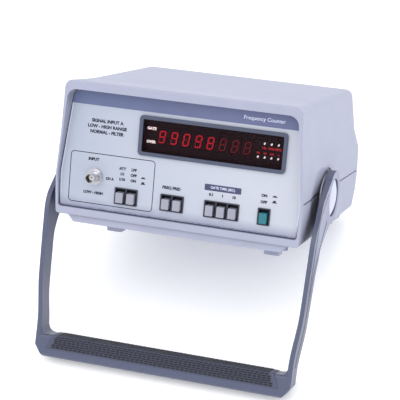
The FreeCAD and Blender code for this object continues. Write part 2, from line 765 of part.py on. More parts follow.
def selector_housing():
    housing = box(SELECTOR_X - 7.9, SELECTOR_X + 7.9, 196, REAR_FACE, INLET_Z - 3.9, INLET_Z + 3.9)
    flange = box(SELECTOR_X - 11, SELECTOR_X + 11, REAR_FACE, REAR_FACE + 1.2, INLET_Z - 6, INLET_Z + 6)
    slot = box(SELECTOR_X - 6.6, SELECTOR_X + 6.6, 198, 230, INLET_Z - 2.6, INLET_Z + 2.6)
    return housing.fuse(flange).cut(slot)


def selector_slider():
    """The voltage selector's slider, at the left end of its 5 mm travel."""
    x0 = SELECTOR_X - 6.2
    slider = box(x0, x0 + 7.4, 198.3, REAR_FACE + 0.4, INLET_Z - 2.2, INLET_Z + 2.2)
    return slider.cut(box(x0 + 3.2, x0 + 4.2, REAR_FACE - 1.2, REAR_FACE + 1, INLET_Z - 3, INLET_Z + 3))


# ---- Feet

def foot_places():
    return [(side * FOOT_X, y) for side in (-1, 1) for y in FOOT_ROWS.values()]


def foot(x, y, outside):
    """A tapered foot that fits up against the belly, with a counterbore for its screw."""
    wires = []
    for z, size in ((-40.0, FOOT_SIZE + 3), (FOOT_BOTTOM, FOOT_SIZE)):
        half = size / 2
        corners = [(x - half, y - half, 3), (x + half, y - half, 3),
                   (x + half, y + half, 3), (x - half, y + half, 3)]
        wires.append(rounded_wire(corners, level(z)))
    block = Part.makeLoft(wires, True, True).cut(outside)
    block = max(block.Solids, key=lambda solid: solid.Volume)
    block = block.cut(rod(1.6, (x, y, -70), (x, y, -40)))
    return block.cut(rod(3.2, (x, y, -70), (x, y, FOOT_BOTTOM + 5)))


def foot_screws():
    screws = []
    for x, y in foot_places():
        shank = rod(1.5, (x, y, FOOT_BOTTOM + 5), (x, y, -41))
        head = rod(2.8, (x, y, FOOT_BOTTOM + 2.6), (x, y, FOOT_BOTTOM + 5))
        screws.append(shank.fuse(head.cut(cross_slot(x, y, FOOT_BOTTOM + 2.5, 1.2))))
    return Part.makeCompound(screws)


# ---- Handle hubs

def hub_rod(radius, x0, x1):
    return rod(radius, (x0, HUB_Y, HUB_Z), (x1, HUB_Y, HUB_Z))


def hub_spindles():
    """A flanged spindle held between the covers, one at each side."""
    flange = hub_rod(FLANGE_RADIUS, 109.6, 115.0 - WALL)
    spindle = flange.fuse(hub_rod(SPINDLE_RADIUS, 110, HUB_OUTER_X + 0.1))
    return both_sides(spindle.cut(hub_rod(1.9, 108, 130)))


def detent_rings():
    """A notched ring fixed in each well: the handle clicks into its notches."""
    ring = hub_rod(22, 115.0, 116.4).cut(hub_rod(SPINDLE_RADIUS + 0.6, 110, 120))
    for index in range(12):
        notch = box(115.9, 117, HUB_Y - 0.9, HUB_Y + 0.9, HUB_Z + 17.5, HUB_Z + 21)
        notch.rotate(Vector(0, HUB_Y, HUB_Z), Vector(1, 0, 0), 30 * index)
        ring = ring.cut(notch)
    return both_sides(ring)


def detent_springs():
    washer = hub_rod(13, 116.4, 116.85).cut(hub_rod(SPINDLE_RADIUS + 0.6, 110, 120))
    return both_sides(washer)


def hub_screws():
    """A screw and washer at each side that keep the handle on its spindle."""
    start = HUB_OUTER_X + 0.1
    washer = hub_rod(7.5, start, start + 0.5)
    head = hub_rod(3.8, start + 0.5, start + 1.4)
    return both_sides(hub_rod(1.9, 108.4, start).fuse([washer, head]))


def hub_caps():
    """A domed cap in each hub's recess, hollow behind for the screw."""
    base = HUB_OUTER_X + 0.2
    radius = (HUB_CAP_RADIUS ** 2 + HUB_CAP_RISE ** 2) / (2 * HUB_CAP_RISE)
    dome = Part.makeSphere(radius, Vector(base + HUB_CAP_RISE - radius, HUB_Y, HUB_Z))
    cap = dome.common(hub_rod(HUB_CAP_RADIUS - 0.2, base - 0.2, HUB_OUTER_X + 10))
    return both_sides(cap.cut(hub_rod(9, HUB_OUTER_X - 1, HUB_OUTER_X + 1.9)))


# ---- Swing handle, in its own plane: n is forwards, s is down the arm from (GRIP_Y, GRIP_Z)

LEAN = math.radians(ARM_LEAN)
FORWARD = (-math.cos(LEAN), math.sin(LEAN))
DOWN = (-math.sin(LEAN), -math.cos(LEAN))


def in_arm_plane(x):
    """Places an outline's (n, s) at this x."""
    def place(point):
        y = GRIP_Y + point.x * FORWARD[0] + point.y * DOWN[0]
        z = GRIP_Z + point.x * FORWARD[1] + point.y * DOWN[1]
        return Vector(x, y, z)
    return place


def facing_arm(n):
    """Places an outline's (x, s) at this distance forwards."""
    def place(point):
        y = GRIP_Y + n * FORWARD[0] + point.y * DOWN[0]
        z = GRIP_Z + n * FORWARD[1] + point.y * DOWN[1]
        return Vector(point.x, y, z)
    return place


def through_arm(corners, n0, n1):
    """An outline in (x, s) given depth along n."""
    length = (0, (n1 - n0) * FORWARD[0], (n1 - n0) * FORWARD[1])
    return prism(corners, facing_arm(n0), length)


def arm():
    """The right arm: a wide root round the hub, a bend, and a straight shank down to the grip."""
    half = ARM_WIDTH / 2
    foot_s = GRIP_START + GRIP_HEIGHT
    side = [(-52, -172, 0), (-12, -150, 30), (half, -122, 30), (half, foot_s, GRIP_CORNER),
            (-half, foot_s, GRIP_CORNER), (-half, -88, 30), (-18, -108.5, 12), (-66, -130, 0)]
    shape = prism(side, in_arm_plane(100), (60, 0, 0))
    shape = shape.fuse(hub_rod(HUB_RADIUS, 100, 160))
    return shape.common(arm_flare())


def arm_flare():
    """A solid of revolution about the hub axis that sets how far out the arm is at each radius."""
    step = HUB_RADIUS + 0.6
    far = 260.0
    outside = [(HUB_OUTER_X, 0, 0), (HUB_OUTER_X, HUB_RECESS_RADIUS, 0),
               (HUB_RIM_X, HUB_RECESS_RADIUS, 0.8), (HUB_RIM_X, step, 60),
               (127.6, 75, 150), (125.2, 131, 150),
               (GRIP_HALF_LENGTH, 160, 150), (GRIP_HALF_LENGTH, far, 0)]
    inside = [(GRIP_HALF_LENGTH - ARM_THICKNESS, far, 0), (GRIP_HALF_LENGTH - ARM_THICKNESS, 160, 150),
              (121.45, 131, 150), (127.6 - ARM_THICKNESS, 75, 150), (HUB_INNER_X + 2.1, step, 0),
              (HUB_INNER_X, step, 0), (HUB_INNER_X, 0, 0)]
    face = Part.Face(rounded_wire(outside + inside, lambda point: Vector(point.x, HUB_Y, HUB_Z + point.y)))
    return face.revolve(Vector(0, HUB_Y, HUB_Z), Vector(1, 0, 0), 360)


def grip_pad_volume():
    """The soft pad over the upper part of the grip, with slanted ends."""
    start = GRIP_START - 0.4
    end = GRIP_START + GRIP_PAD_HEIGHT
    half = GRIP_PAD_HALF_LENGTH
    outline = [(half, start, 0), (half + 5, end, 0), (-half - 5, end, 0), (-half, start, 0)]
    proud = ARM_WIDTH / 2 + 0.4
    around = through_arm(outline, -proud, proud)
    core = [(half + 20, GRIP_START + 1.6, 0), (half + 20, end + 10, 0), (-half - 20, end + 10, 0),
            (-half - 20, GRIP_START + 1.6, 0)]
    return around.cut(through_arm(core, -ARM_WIDTH / 2 + 1.6, ARM_WIDTH / 2 - 1.6))


def grip_pad():
    pad = grip_pad_volume()
    top = [edge for edge in pad.Edges if edge.Length > 200 and edge_height(edge) < GRIP_START]
    return pad.makeFillet(1.5, top)


def edge_height(edge):
    """How far down the arm an edge's middle is."""
    middle = edge.valueAt((edge.FirstParameter + edge.LastParameter) / 2)
    return (middle.y - GRIP_Y) * DOWN[0] + (middle.z - GRIP_Z) * DOWN[1]


def handle_bail():
    """Both arms and the grip between them, with round corners, a pad recess and a level underside."""
    half = ARM_WIDTH / 2
    right = arm()
    foot_s = GRIP_START + GRIP_HEIGHT
    bar_side = [(-half, GRIP_START, 2.5), (half, GRIP_START, 2.5),
                (half, foot_s, GRIP_CORNER), (-half, foot_s, GRIP_CORNER)]
    inside = GRIP_HALF_LENGTH - ARM_THICKNESS
    bar = prism(bar_side, in_arm_plane(-inside - 1), (2 * inside + 2, 0, 0))
    bail = right.fuse(mirrored(right)).fuse(bar)
    inner = 7.0
    for side in (-1, 1):
        corner = [(side * (inside + 1), GRIP_START - inner, 0), (side * (inside - inner), GRIP_START, 0),
                  (side * (inside + 1), GRIP_START + 1, 0)]
        block = through_arm(corner, -half + 0.5, half - 0.5)
        hollow = Part.makeCylinder(inner, 2 * half + 2, facing_arm(-half - 1)(
            Vector(side * (inside - inner), GRIP_START - inner, 0)), Vector(0, *FORWARD))
        bail = bail.fuse(block.cut(hollow))
    wide = GRIP_HALF_LENGTH + 20
    upwards = [(GRIP_HALF_LENGTH - 8, foot_s + 1, 9), (GRIP_HALF_LENGTH + 1, foot_s - 12, 9),
               (wide, foot_s - 45, 0), (wide, -260, 0)]
    outer = symmetric(upwards)
    bail = bail.common(through_arm(outer, -150, 60))
    bail = bail.cut(grip_pad_volume()).cut(floor_block())
    for side in (-1, 1):
        bail = bail.cut(hub_rod(BORE_RADIUS, side * 110, side * 130))
    return bail.removeSplitter()


# ---- Standing pose

TILT = math.radians(STAND_ANGLE)


def floor_drop():
    """How far the floor is below the case's origin: just above the grip's lowest point, at its back."""
    n = GRIP_CORNER - ARM_WIDTH / 2
    s = GRIP_START + GRIP_HEIGHT - GRIP_CORNER
    lowest = in_arm_plane(0)(Vector(n, s, 0))
    return -lowest.y * math.sin(TILT) + lowest.z * math.cos(TILT) - GRIP_CORNER + GRIP_FLAT


def floor_block():
    """A block under the floor, in the instrument's axes: whatever it cuts becomes level when stood up."""
    block = box(-300, 300, -400, 400, floor_drop() - 200, floor_drop())
    block.rotate(Vector(0, 0, 0), Vector(1, 0, 0), STAND_ANGLE)
    return block


def stand(shapes):
    """Tips every shape up at the front, then puts the origin under the middle of the whole object."""
    for shape in shapes.values():
        shape.rotate(Vector(0, 0, 0), Vector(1, 0, 0), -STAND_ANGLE)
    boxes = [shape.optimalBoundingBox(False, False) for shape in shapes.values()]
    middle_y = (min(bounds.YMin for bounds in boxes) + max(bounds.YMax for bounds in boxes)) / 2
    for shape in shapes.values():
        shape.translate(Vector(0, -middle_y, -floor_drop()))
    return middle_y


def build():
    hollow = chamber()
    holes = panel_holes()
    shapes = {
        "upper_cover": upper_cover(hollow),
        "lower_cover": lower_cover(hollow),
        "front_panel": front_panel(hollow, holes),
        "panel_overlay": panel_overlay(holes),
        "title_strip": title_strip(),
        "display_bezel": display_bezel(),
        "display_window": display_window(),
        "display_board": display_board(),
        "led_digits": led_digits(),
        "indicator_leds": indicator_leds(),
        "bnc_body": bnc_body(),
        "bnc_insulator": bnc_insulator(),
        "bnc_contact": bnc_contact(),
        "bnc_nut": bnc_nut(),
        "input_shield": input_shield(),
        "main_board": main_board(),
        "board_screws": board_screws(),
        "logic_chips": logic_chips(),
        "crystal_oscillator": crystal_oscillator(),
        "filter_capacitors": filter_capacitors(),
        "regulators": regulators(),
        "heat_sink": heat_sink(),
        "transformer_core": transformer_core(),
        "transformer_windings": transformer_windings(),
        "transformer_bracket": transformer_bracket(),
        "ribbon_cable": ribbon_cable(),
        "rear_panel": rear_panel(hollow),
        "mains_inlet": mains_inlet(),
        "inlet_pins": inlet_pins(),
        "fuse_holder": fuse_holder(),
        "fuse_cap": fuse_cap(),
        "voltage_selector": selector_housing(),
        "selector_slider": selector_slider(),
        "case_screws": case_screws(),
        "foot_screws": foot_screws(),
        "hub_spindles": hub_spindles(),
        "detent_rings": detent_rings(),
        "detent_springs": detent_springs(),
        "hub_screws": hub_screws(),
        "hub_caps": hub_caps(),
        "handle_bail": handle_bail(),
        "grip_pad": grip_pad(),
    }
    shapes.update(switch_bodies())
    for name, (bezel_x, buttons) in BUTTON_BEZELS.items():
        shapes[name] = button_bezel(bezel_x, len(buttons))
        for button, x in zip(buttons, well_centres(bezel_x, len(buttons))):
            shapes[button] = push_button(x)
    outside = lower_outside()
    for row, y in FOOT_ROWS.items():
        for side, x in (("left", -FOOT_X), ("right", FOOT_X)):
            shapes[f"foot_{row}_{side}"] = foot(x, y, outside).cut(floor_block())
    return shapes


os.makedirs("parts", exist_ok=True)
solids = build()
centre_y = stand(solids)
for node, shape in solids.items():
    shape.exportStep(f"parts/{node}.step")
hub_y = HUB_Y * math.cos(TILT) + HUB_Z * math.sin(TILT) - centre_y
hub_z = -HUB_Y * math.sin(TILT) + HUB_Z * math.cos(TILT) - floor_drop()
print(f"{len(solids)} nodes; the hub is at y {hub_y:.3f}, z {hub_z:.3f}")
for node, shape in solids.items():
    if not shape.isValid() or shape.Volume <= 0:
        print("check", node, shape.isValid(), round(shape.Volume, 2))
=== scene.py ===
import json
import math

import bmesh
import bpy
from mathutils import Matrix, Vector
from mathutils.bvhtree import BVHTree


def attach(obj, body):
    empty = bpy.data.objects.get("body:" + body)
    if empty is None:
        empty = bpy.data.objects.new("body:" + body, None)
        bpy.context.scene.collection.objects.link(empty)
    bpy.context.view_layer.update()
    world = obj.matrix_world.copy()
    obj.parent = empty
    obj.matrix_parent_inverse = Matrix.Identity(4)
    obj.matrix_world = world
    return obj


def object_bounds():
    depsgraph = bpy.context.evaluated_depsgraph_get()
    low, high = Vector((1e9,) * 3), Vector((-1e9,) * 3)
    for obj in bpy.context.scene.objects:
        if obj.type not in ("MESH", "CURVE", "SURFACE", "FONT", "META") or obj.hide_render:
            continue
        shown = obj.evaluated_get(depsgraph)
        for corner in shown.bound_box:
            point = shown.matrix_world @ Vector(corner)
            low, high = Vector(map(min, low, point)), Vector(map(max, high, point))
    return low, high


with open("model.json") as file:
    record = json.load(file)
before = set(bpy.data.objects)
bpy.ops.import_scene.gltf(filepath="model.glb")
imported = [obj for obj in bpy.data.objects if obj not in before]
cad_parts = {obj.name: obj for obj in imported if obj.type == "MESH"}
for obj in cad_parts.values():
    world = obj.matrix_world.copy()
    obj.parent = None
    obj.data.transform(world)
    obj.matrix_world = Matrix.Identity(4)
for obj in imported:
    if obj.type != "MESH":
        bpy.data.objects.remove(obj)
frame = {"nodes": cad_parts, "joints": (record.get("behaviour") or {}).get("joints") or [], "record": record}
cad_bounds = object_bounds()
nodes = frame["nodes"]
joints = {joint["name"]: joint for joint in frame["joints"]}
scene = bpy.context.scene
MM = 0.001

# ---- Two working frames, in metres. In the case's own frame X is to the right, Y runs back from the
# ---- front rim and Z is up from the parting line. The arm's frame has its origin on the hinge and
# ---- its Z up the arm. Both come from the record's joints.
HUB_BEHIND_RIM = 90 * MM
HUB_BELOW_PARTING = 6 * MM
ARM_LEAN = math.radians(7)
inward = Vector(joints["attenuator_push"]["axis"])
tilt = math.atan2(-inward.z, inward.y)
hinge = Vector(joints["handle_swing"]["pos_m"])
case = (Matrix.Translation(hinge) @ Matrix.Rotation(-tilt, 4, "X")
        @ Matrix.Translation((0, -HUB_BEHIND_RIM, HUB_BELOW_PARTING)))
arm = Matrix.Translation(hinge) @ Matrix.Rotation(-tilt - ARM_LEAN, 4, "X")


def box_in(node, place):
    """A CAD node's box in one of the working frames, in millimetres: x0, x1, y0, y1, z0, z1."""
    back = place.inverted()
    points = [back @ vertex.co for vertex in nodes[node].data.vertices]
    sides = []
    for axis in range(3):
        values = [point[axis] for point in points]
        sides += [min(values) / MM, max(values) / MM]
    return sides


# ---- Camera at the photograph's viewing angle
CAMERA_AZIMUTH = math.radians(20.5)
CAMERA_ELEVATION = math.radians(40.1)
CAMERA_ROLL = math.radians(-5.4)
CAMERA_DISTANCE = 1.359
CAMERA_LENS = 130.9
SENSOR_WIDTH = 36
AIM_OFFSET = Vector((0.0016, -0.0154, -0.0180))

low, high = cad_bounds
middle = (low + high) / 2
lookout = Vector((math.sin(CAMERA_AZIMUTH) * math.cos(CAMERA_ELEVATION),
                  -math.cos(CAMERA_AZIMUTH) * math.cos(CAMERA_ELEVATION), math.sin(CAMERA_ELEVATION)))
camera = bpy.data.objects.new("camera", bpy.data.cameras.new("camera"))
scene.collection.objects.link(camera)
camera.data.lens = CAMERA_LENS
camera.data.sensor_width = SENSOR_WIDTH
camera.location = middle + AIM_OFFSET + lookout * CAMERA_DISTANCE
facing = (-lookout).to_track_quat("-Z", "Y").to_matrix() @ Matrix.Rotation(CAMERA_ROLL, 3, "Z")
camera.rotation_euler = facing.to_euler()
scene.camera = camera


# ---- Floor, backdrop and light
FLOOR_HALF_SIZE = 4.0
FLOOR_GAP = 0.0002
FLOOR_COLOUR = (0.94, 0.94, 0.945, 1)
FLOOR_ROUGHNESS = 0.9
FLOOR_GLOW = 0.2
SKY_COLOUR = (0.97, 0.98, 1.0, 1)
SKY_STRENGTH = 1.03

# Name, azimuth and elevation in degrees, distance and size in metres, power in watts, colour
LIGHTS = (
    ("key_light", -25, 60, 1.6, 1.5, 9.5, (1.0, 0.99, 0.97)),
    ("fill_light", 75, 35, 1.8, 1.4, 4, (0.96, 0.98, 1.0)),
    ("rear_light", 175, 50, 1.8, 1.2, 5, (1.0, 1.0, 1.0)),
)


def srgb(red, green, blue):
    """A display colour (0 to 255) as linear light."""
    linear = []
    for channel in (red / 255, green / 255, blue / 255):
        linear.append(channel / 12.92 if channel <= 0.04045 else ((channel + 0.055) / 1.055) ** 2.4)
    return tuple(linear)


def floor_plane():
    """A pale floor that glows a little, so that shadows on it stay faint."""
    mesh = bpy.data.meshes.new("floor")
    level = low.z - FLOOR_GAP
    around = ((-1, -1), (1, -1), (1, 1), (-1, 1))
    corners = [(x * FLOOR_HALF_SIZE, y * FLOOR_HALF_SIZE, level) for x, y in around]
    mesh.from_pydata(corners, [], [(0, 1, 2, 3)])
    floor = bpy.data.objects.new("floor", mesh)
    scene.collection.objects.link(floor)
    paint = bpy.data.materials.new("floor_paper")
    paint.use_nodes = True
    surface = paint.node_tree.nodes["Principled BSDF"]
    surface.inputs["Base Color"].default_value = FLOOR_COLOUR
    surface.inputs["Roughness"].default_value = FLOOR_ROUGHNESS
    surface.inputs["Emission Color"].default_value = (1, 1, 1, 1)
    surface.inputs["Emission Strength"].default_value = FLOOR_GLOW
    mesh.materials.append(paint)


def soft_light(name, azimuth, elevation, distance, size, power, colour):
    """A square area light that faces the object."""
    lamp = bpy.data.lights.new(name, "AREA")
    lamp.size = size
    lamp.energy = power
    lamp.color = colour
    light = bpy.data.objects.new(name, lamp)
    scene.collection.objects.link(light)
    turn, rise = math.radians(azimuth), math.radians(elevation)
    away = Vector((math.sin(turn) * math.cos(rise), -math.cos(turn) * math.cos(rise), math.sin(rise)))
    light.location = middle + away * distance
    light.rotation_euler = (-away).to_track_quat("-Z", "Y").to_euler()


floor_plane()
for light_settings in LIGHTS:
    soft_light(*light_settings)
world = bpy.data.worlds.new("studio")
world.use_nodes = True
world.node_tree.nodes["Background"].inputs["Color"].default_value = SKY_COLOUR
world.node_tree.nodes["Background"].inputs["Strength"].default_value = SKY_STRENGTH
scene.world = world
scene.view_settings.view_transform = "Standard"


# ---- Materials: every finish has colour variation and fine grain, and most have softened edges
MOTTLE_SPAN = (0.35, 0.75)
MOTTLE_DETAIL = 4.0
GRAIN_SPAN = (0.3, 0.7)
GRAIN_DETAIL = 3.0
ROUGHNESS_SWING = 0.06
LEAST_ROUGHNESS = 0.02
WORN_EDGE_SPAN = (0.995, 0.80)
HOLLOW_SPAN = (0.85, 0.30)
EDGE_SAMPLES = 4
HOLLOW_SAMPLES = 8


class Finish:
    """One material under construction."""

    def __init__(self, name, colour, roughness, metallic=0.0):
        self.material = bpy.data.materials.new(name)
        self.material.use_nodes = True
        self.tree = self.material.node_tree
        self.surface = self.tree.nodes["Principled BSDF"]
        self.surface.inputs["Metallic"].default_value = metallic
        self.surface.inputs["Roughness"].default_value = roughness
        self.place = self.tree.nodes.new("ShaderNodeTexCoord").outputs["Object"]
        plain = self.tree.nodes.new("ShaderNodeRGB")
        plain.outputs[0].default_value = (*colour, 1)
        self.colour = plain.outputs[0]
        self.normal = None

    def new(self, kind, **settings):
        node = self.tree.nodes.new(kind)
        for name, value in settings.items():
            setattr(node, name, value)
        return node

    def link(self, start, end):
        self.tree.links.new(start, end)

    def stretched(self, scale):
        """Texture coordinates stretched along an axis, for streaks."""
        mapping = self.new("ShaderNodeMapping")
        mapping.inputs["Scale"].default_value = scale
        self.link(self.place, mapping.inputs["Vector"])
        return mapping.outputs["Vector"]

    def noise(self, size, detail, stretch=(1, 1, 1)):
        """Noise whose blobs are about this many metres across."""
        noise = self.new("ShaderNodeTexNoise")
        noise.inputs["Scale"].default_value = 1 / size
        noise.inputs["Detail"].default_value = detail
        self.link(self.stretched(stretch), noise.inputs["Vector"])
        return noise.outputs["Fac"]

    def ramp(self, value, low_at, high_at, low_value=0.0, high_value=1.0):
        """Carries a value from one span to another, held at both ends."""
        spread = self.new("ShaderNodeMapRange")
        spread.inputs["From Min"].default_value = low_at
        spread.inputs["From Max"].default_value = high_at
        spread.inputs["To Min"].default_value = low_value
        spread.inputs["To Max"].default_value = high_value
        self.link(value, spread.inputs["Value"])
        return spread.outputs["Result"]

    def blend(self, factor, colour):
        """Mixes another colour in where the factor is high."""
        mix = self.new("ShaderNodeMix", data_type="RGBA")
        self.link(factor, mix.inputs["Factor"])
        self.link(self.colour, mix.inputs["A"])
        mix.inputs["B"].default_value = (*colour, 1)
        self.colour = mix.outputs["Result"]
        return self

    def mottle(self, colour, size, amount=0.5):
        """Slow colour variation, as moulded or printed parts have."""
        return self.blend(self.ramp(self.noise(size, MOTTLE_DETAIL), *MOTTLE_SPAN, 0.0, amount), colour)

    def grain(self, size=0.0006, depth=0.00004, stretch=(1, 1, 1)):
        """Fine surface texture as bump, and as a slight change of roughness."""
        bump = self.new("ShaderNodeBump")
        bump.inputs["Distance"].default_value = depth
        fine = self.noise(size, GRAIN_DETAIL, stretch)
        self.link(fine, bump.inputs["Height"])
        if self.normal:
            self.link(self.normal, bump.inputs["Normal"])
        self.normal = bump.outputs["Normal"]
        base = self.surface.inputs["Roughness"].default_value
        least, most = max(LEAST_ROUGHNESS, base - ROUGHNESS_SWING), min(1, base + ROUGHNESS_SWING)
        self.link(self.ramp(fine, *GRAIN_SPAN, least, most), self.surface.inputs["Roughness"])
        return self

    def soft_edges(self, radius, worn=None, amount=0.0):
        """Rounds hard edges for the light, and rubs them lighter where a worn colour is given."""
        bevel = self.new("ShaderNodeBevel", samples=EDGE_SAMPLES)
        bevel.inputs["Radius"].default_value = radius
        self.normal = bevel.outputs["Normal"]
        if worn:
            flat = self.new("ShaderNodeNewGeometry").outputs["Normal"]
            compare = self.new("ShaderNodeVectorMath", operation="DOT_PRODUCT")
            self.link(bevel.outputs["Normal"], compare.inputs[0])
            self.link(flat, compare.inputs[1])
            self.blend(self.ramp(compare.outputs["Value"], *WORN_EDGE_SPAN, 0.0, amount), worn)
        return self

    def paint_hollow_shade(self, reach, colour, amount):
        """Paints shade into corners and recesses, darker where less of the sky is seen."""
        shelter = self.new("ShaderNodeAmbientOcclusion", samples=HOLLOW_SAMPLES)
        shelter.inputs["Distance"].default_value = reach
        return self.blend(self.ramp(shelter.outputs["AO"], *HOLLOW_SPAN, 0.0, amount), colour)

    def wave(self, direction, scale, colour):
        """Even stripes of another colour across one axis."""
        stripes = self.new("ShaderNodeTexWave", bands_direction=direction)
        stripes.inputs["Scale"].default_value = scale
        self.link(self.place, stripes.inputs["Vector"])
        return self.blend(stripes.outputs["Fac"], colour)

    def place_along(self, axis):
        """The place along one axis, in metres."""
        split = self.new("ShaderNodeSeparateXYZ")
        self.link(self.place, split.inputs["Vector"])
        return split.outputs[axis]

    def done(self):
        """Connects the colour and the surface detail, and hands the material over."""
        self.link(self.colour, self.surface.inputs["Base Color"])
        if self.normal:
            self.link(self.normal, self.surface.inputs["Normal"])
        return self.material


def toned(colour, factor):
    """The same colour, darker under 1 and lighter over 1."""
    return tuple(channel * factor for channel in colour)


# Sizes and depths of the materials' detail are in metres, and tones are factors on a colour
EDGE_RADIUS = 0.0005
WORN_TONE = 1.25
MOTTLE_TONE = 0.90
MOTTLE_SIZE = 0.03
MOULD_GRAIN_DEPTH = 0.00003
# Painted shade in hollows: how far round to look, and the tone it darkens to
HOLLOW_REACH = 0.012
HOLLOW_SHADE_TONE = 0.45


def moulded(name, colour, roughness, grain, worn_amount=0.3, hollows=0.0):
    """A moulded plastic: slight mottling, a spark-eroded grain, rubbed edges and, where asked, painted shade
    in its hollows.
    """
    finish = Finish(name, colour, roughness)
    finish.soft_edges(EDGE_RADIUS, toned(colour, WORN_TONE), worn_amount)
    finish.mottle(toned(colour, MOTTLE_TONE), MOTTLE_SIZE, 0.6)
    # Painted shade, darker in corners and recesses
    if hollows:
        finish.paint_hollow_shade(HOLLOW_REACH, toned(colour, HOLLOW_SHADE_TONE), hollows)
    return finish.grain(grain, MOULD_GRAIN_DEPTH).done()


HANDLE_GREY = srgb(78, 84, 108)
# A painted sheen: the arms' outer faces are painted paler near the hubs, for the bright surroundings they
# reflect at a grazing angle
FLANK_SHEEN_GREY = srgb(122, 128, 160)
# In metres: how far out a face must be to count as an arm's outer one, the distances from the hub
# over which the painted sheen fades out, and the share of it that is left beyond them
SHEEN_OUTWARD_SPAN = (0.085, 0.11)
SHEEN_REACH_SPAN = (0.110, 0.060)
SHEEN_LEAST = 0.15


def handle_plastic():
    """The handle's plastic, with a painted sheen that makes the arms' outer faces paler near the hubs, and
    painted shade in its hollows.
    """
    finish = Finish("handle_plastic", HANDLE_GREY, 0.36)
    finish.soft_edges(EDGE_RADIUS, toned(HANDLE_GREY, WORN_TONE), 0.3)
    # Painted sheen: paler where a face looks outwards, fading with distance from the hub
    facing = finish.new("ShaderNodeSeparateXYZ")
    finish.link(finish.new("ShaderNodeTexCoord").outputs["Normal"], facing.inputs["Vector"])
    outward = finish.new("ShaderNodeMath", operation="MULTIPLY")
    finish.link(finish.place_along("X"), outward.inputs[0])
    finish.link(facing.outputs["X"], outward.inputs[1])
    flatten = finish.new("ShaderNodeVectorMath", operation="MULTIPLY")
    finish.link(finish.place, flatten.inputs[0])
    flatten.inputs[1].default_value = (0, 1, 1)
    reach = finish.new("ShaderNodeVectorMath", operation="DISTANCE")
    finish.link(flatten.outputs["Vector"], reach.inputs[0])
    reach.inputs[1].default_value = (0, hinge.y, hinge.z)
    share = finish.new("ShaderNodeMath", operation="MULTIPLY")
    finish.link(finish.ramp(outward.outputs["Value"], *SHEEN_OUTWARD_SPAN), share.inputs[0])
    finish.link(finish.ramp(reach.outputs["Value"], *SHEEN_REACH_SPAN, SHEEN_LEAST, 1.0), share.inputs[1])
    finish.blend(share.outputs["Value"], FLANK_SHEEN_GREY)
    finish.mottle(toned(HANDLE_GREY, MOTTLE_TONE), MOTTLE_SIZE, 0.25)
    # Painted shade in the handle's corners and recesses
    finish.paint_hollow_shade(HOLLOW_REACH, toned(HANDLE_GREY, HOLLOW_SHADE_TONE), 0.6)
    return finish.grain(0.0005, MOULD_GRAIN_DEPTH).done()


def metal(name, colour, roughness, streak=(1, 1, 1)):
    """A plated, brushed or cast metal, with streaks where the grain is stretched."""
    finish = Finish(name, colour, roughness, 1.0)
    finish.soft_edges(0.0003)
    finish.mottle(toned(colour, 0.7), 0.004, 0.5)
    return finish.grain(0.0004, 0.000015, streak).done()


FILM_GRAIN = (0.0005, 0.00001)


def panel_foot():
    """The height of the front panel's lower edge, as it stands in the scene."""
    return min(vertex.co.z for vertex in nodes["panel_overlay"].data.vertices)


def panel_film():
    """The printed front film, with painted shade that makes it a little bluer and darker at the left, and a
    painted shadow along its foot.
    """
    finish = Finish("overlay_film", srgb(186, 190, 201), 0.42)
    # Painted shade: darker and bluer towards the left, where less light falls
    finish.blend(finish.ramp(finish.place_along("X"), 0.07, -0.10, 0.0, 0.9), srgb(162, 171, 187))
    # A painted shadow along the panel's foot
    foot = panel_foot()
    foot_shadow = finish.ramp(finish.place_along("Z"), foot + 0.010, foot + 0.002, 0.0, 0.8)
    finish.blend(foot_shadow, srgb(134, 139, 164))
    finish.mottle(srgb(178, 182, 201), 0.012, 0.3)
    return finish.grain(*FILM_GRAIN).done()


def title_film():
    """The blue strip along the top of the panel, with a little painted shade towards the left."""
    finish = Finish("title_film", srgb(98, 106, 142), 0.38)
    # Painted shade: a little darker towards the left
    finish.blend(finish.ramp(finish.place_along("X"), 0.02, -0.10), srgb(92, 105, 141))
    finish.mottle(srgb(88, 90, 132), 0.02, 0.3)
    return finish.grain(*FILM_GRAIN).done()


def window():
    """Smoked red acrylic."""
    finish = Finish("window_acrylic", (0.014, 0.003, 0.006), 0.06)
    finish.mottle((0.020, 0.006, 0.010), 0.03, 0.5)
    finish.surface.inputs["Alpha"].default_value = 0.34
    finish.surface.inputs["Specular IOR Level"].default_value = 0.02
    return finish.grain(0.004, 0.00001).done()


def laminations():
    """The edges of stacked steel sheets."""
    finish = Finish("core_steel", (0.16, 0.15, 0.15), 0.5, 0.8)
    return finish.wave("Y", 160, (0.05, 0.045, 0.045)).grain().done()


def circuit_board():
    """Green solder resist over rows of tracks."""
    finish = Finish("circuit_board", (0.03, 0.13, 0.06), 0.35)
    tracks = finish.new("ShaderNodeTexBrick")
    tracks.inputs["Scale"].default_value = 90
    tracks.inputs["Mortar Size"].default_value = 0.06
    tracks.inputs["Mortar"].default_value = (1, 1, 1, 1)
    for name in ("Color1", "Color2"):
        tracks.inputs[name].default_value = (0, 0, 0, 1)
    finish.link(finish.place, tracks.inputs["Vector"])
    finish.blend(tracks.outputs["Color"], (0.08, 0.26, 0.10))
    return finish.mottle((0.02, 0.08, 0.04), 0.02, 0.5).grain(0.0006, 0.00002).done()


def ribbon():
    """A flat cable's parallel cores."""
    finish = Finish("cable_plastic", (0.40, 0.42, 0.45), 0.45)
    return finish.wave("X", 250, (0.25, 0.27, 0.30)).grain(0.0008, 0.00002).done()


def glow(name, colour, strength):
    """A lit lamp or segment."""
    finish = Finish(name, colour, 0.3)
    finish.mottle(toned(colour, 0.6), 0.001, 0.5)
    finish.surface.inputs["Emission Color"].default_value = (*colour, 1)
    finish.surface.inputs["Emission Strength"].default_value = strength
    return finish.grain(0.0003, 0.00001).done()


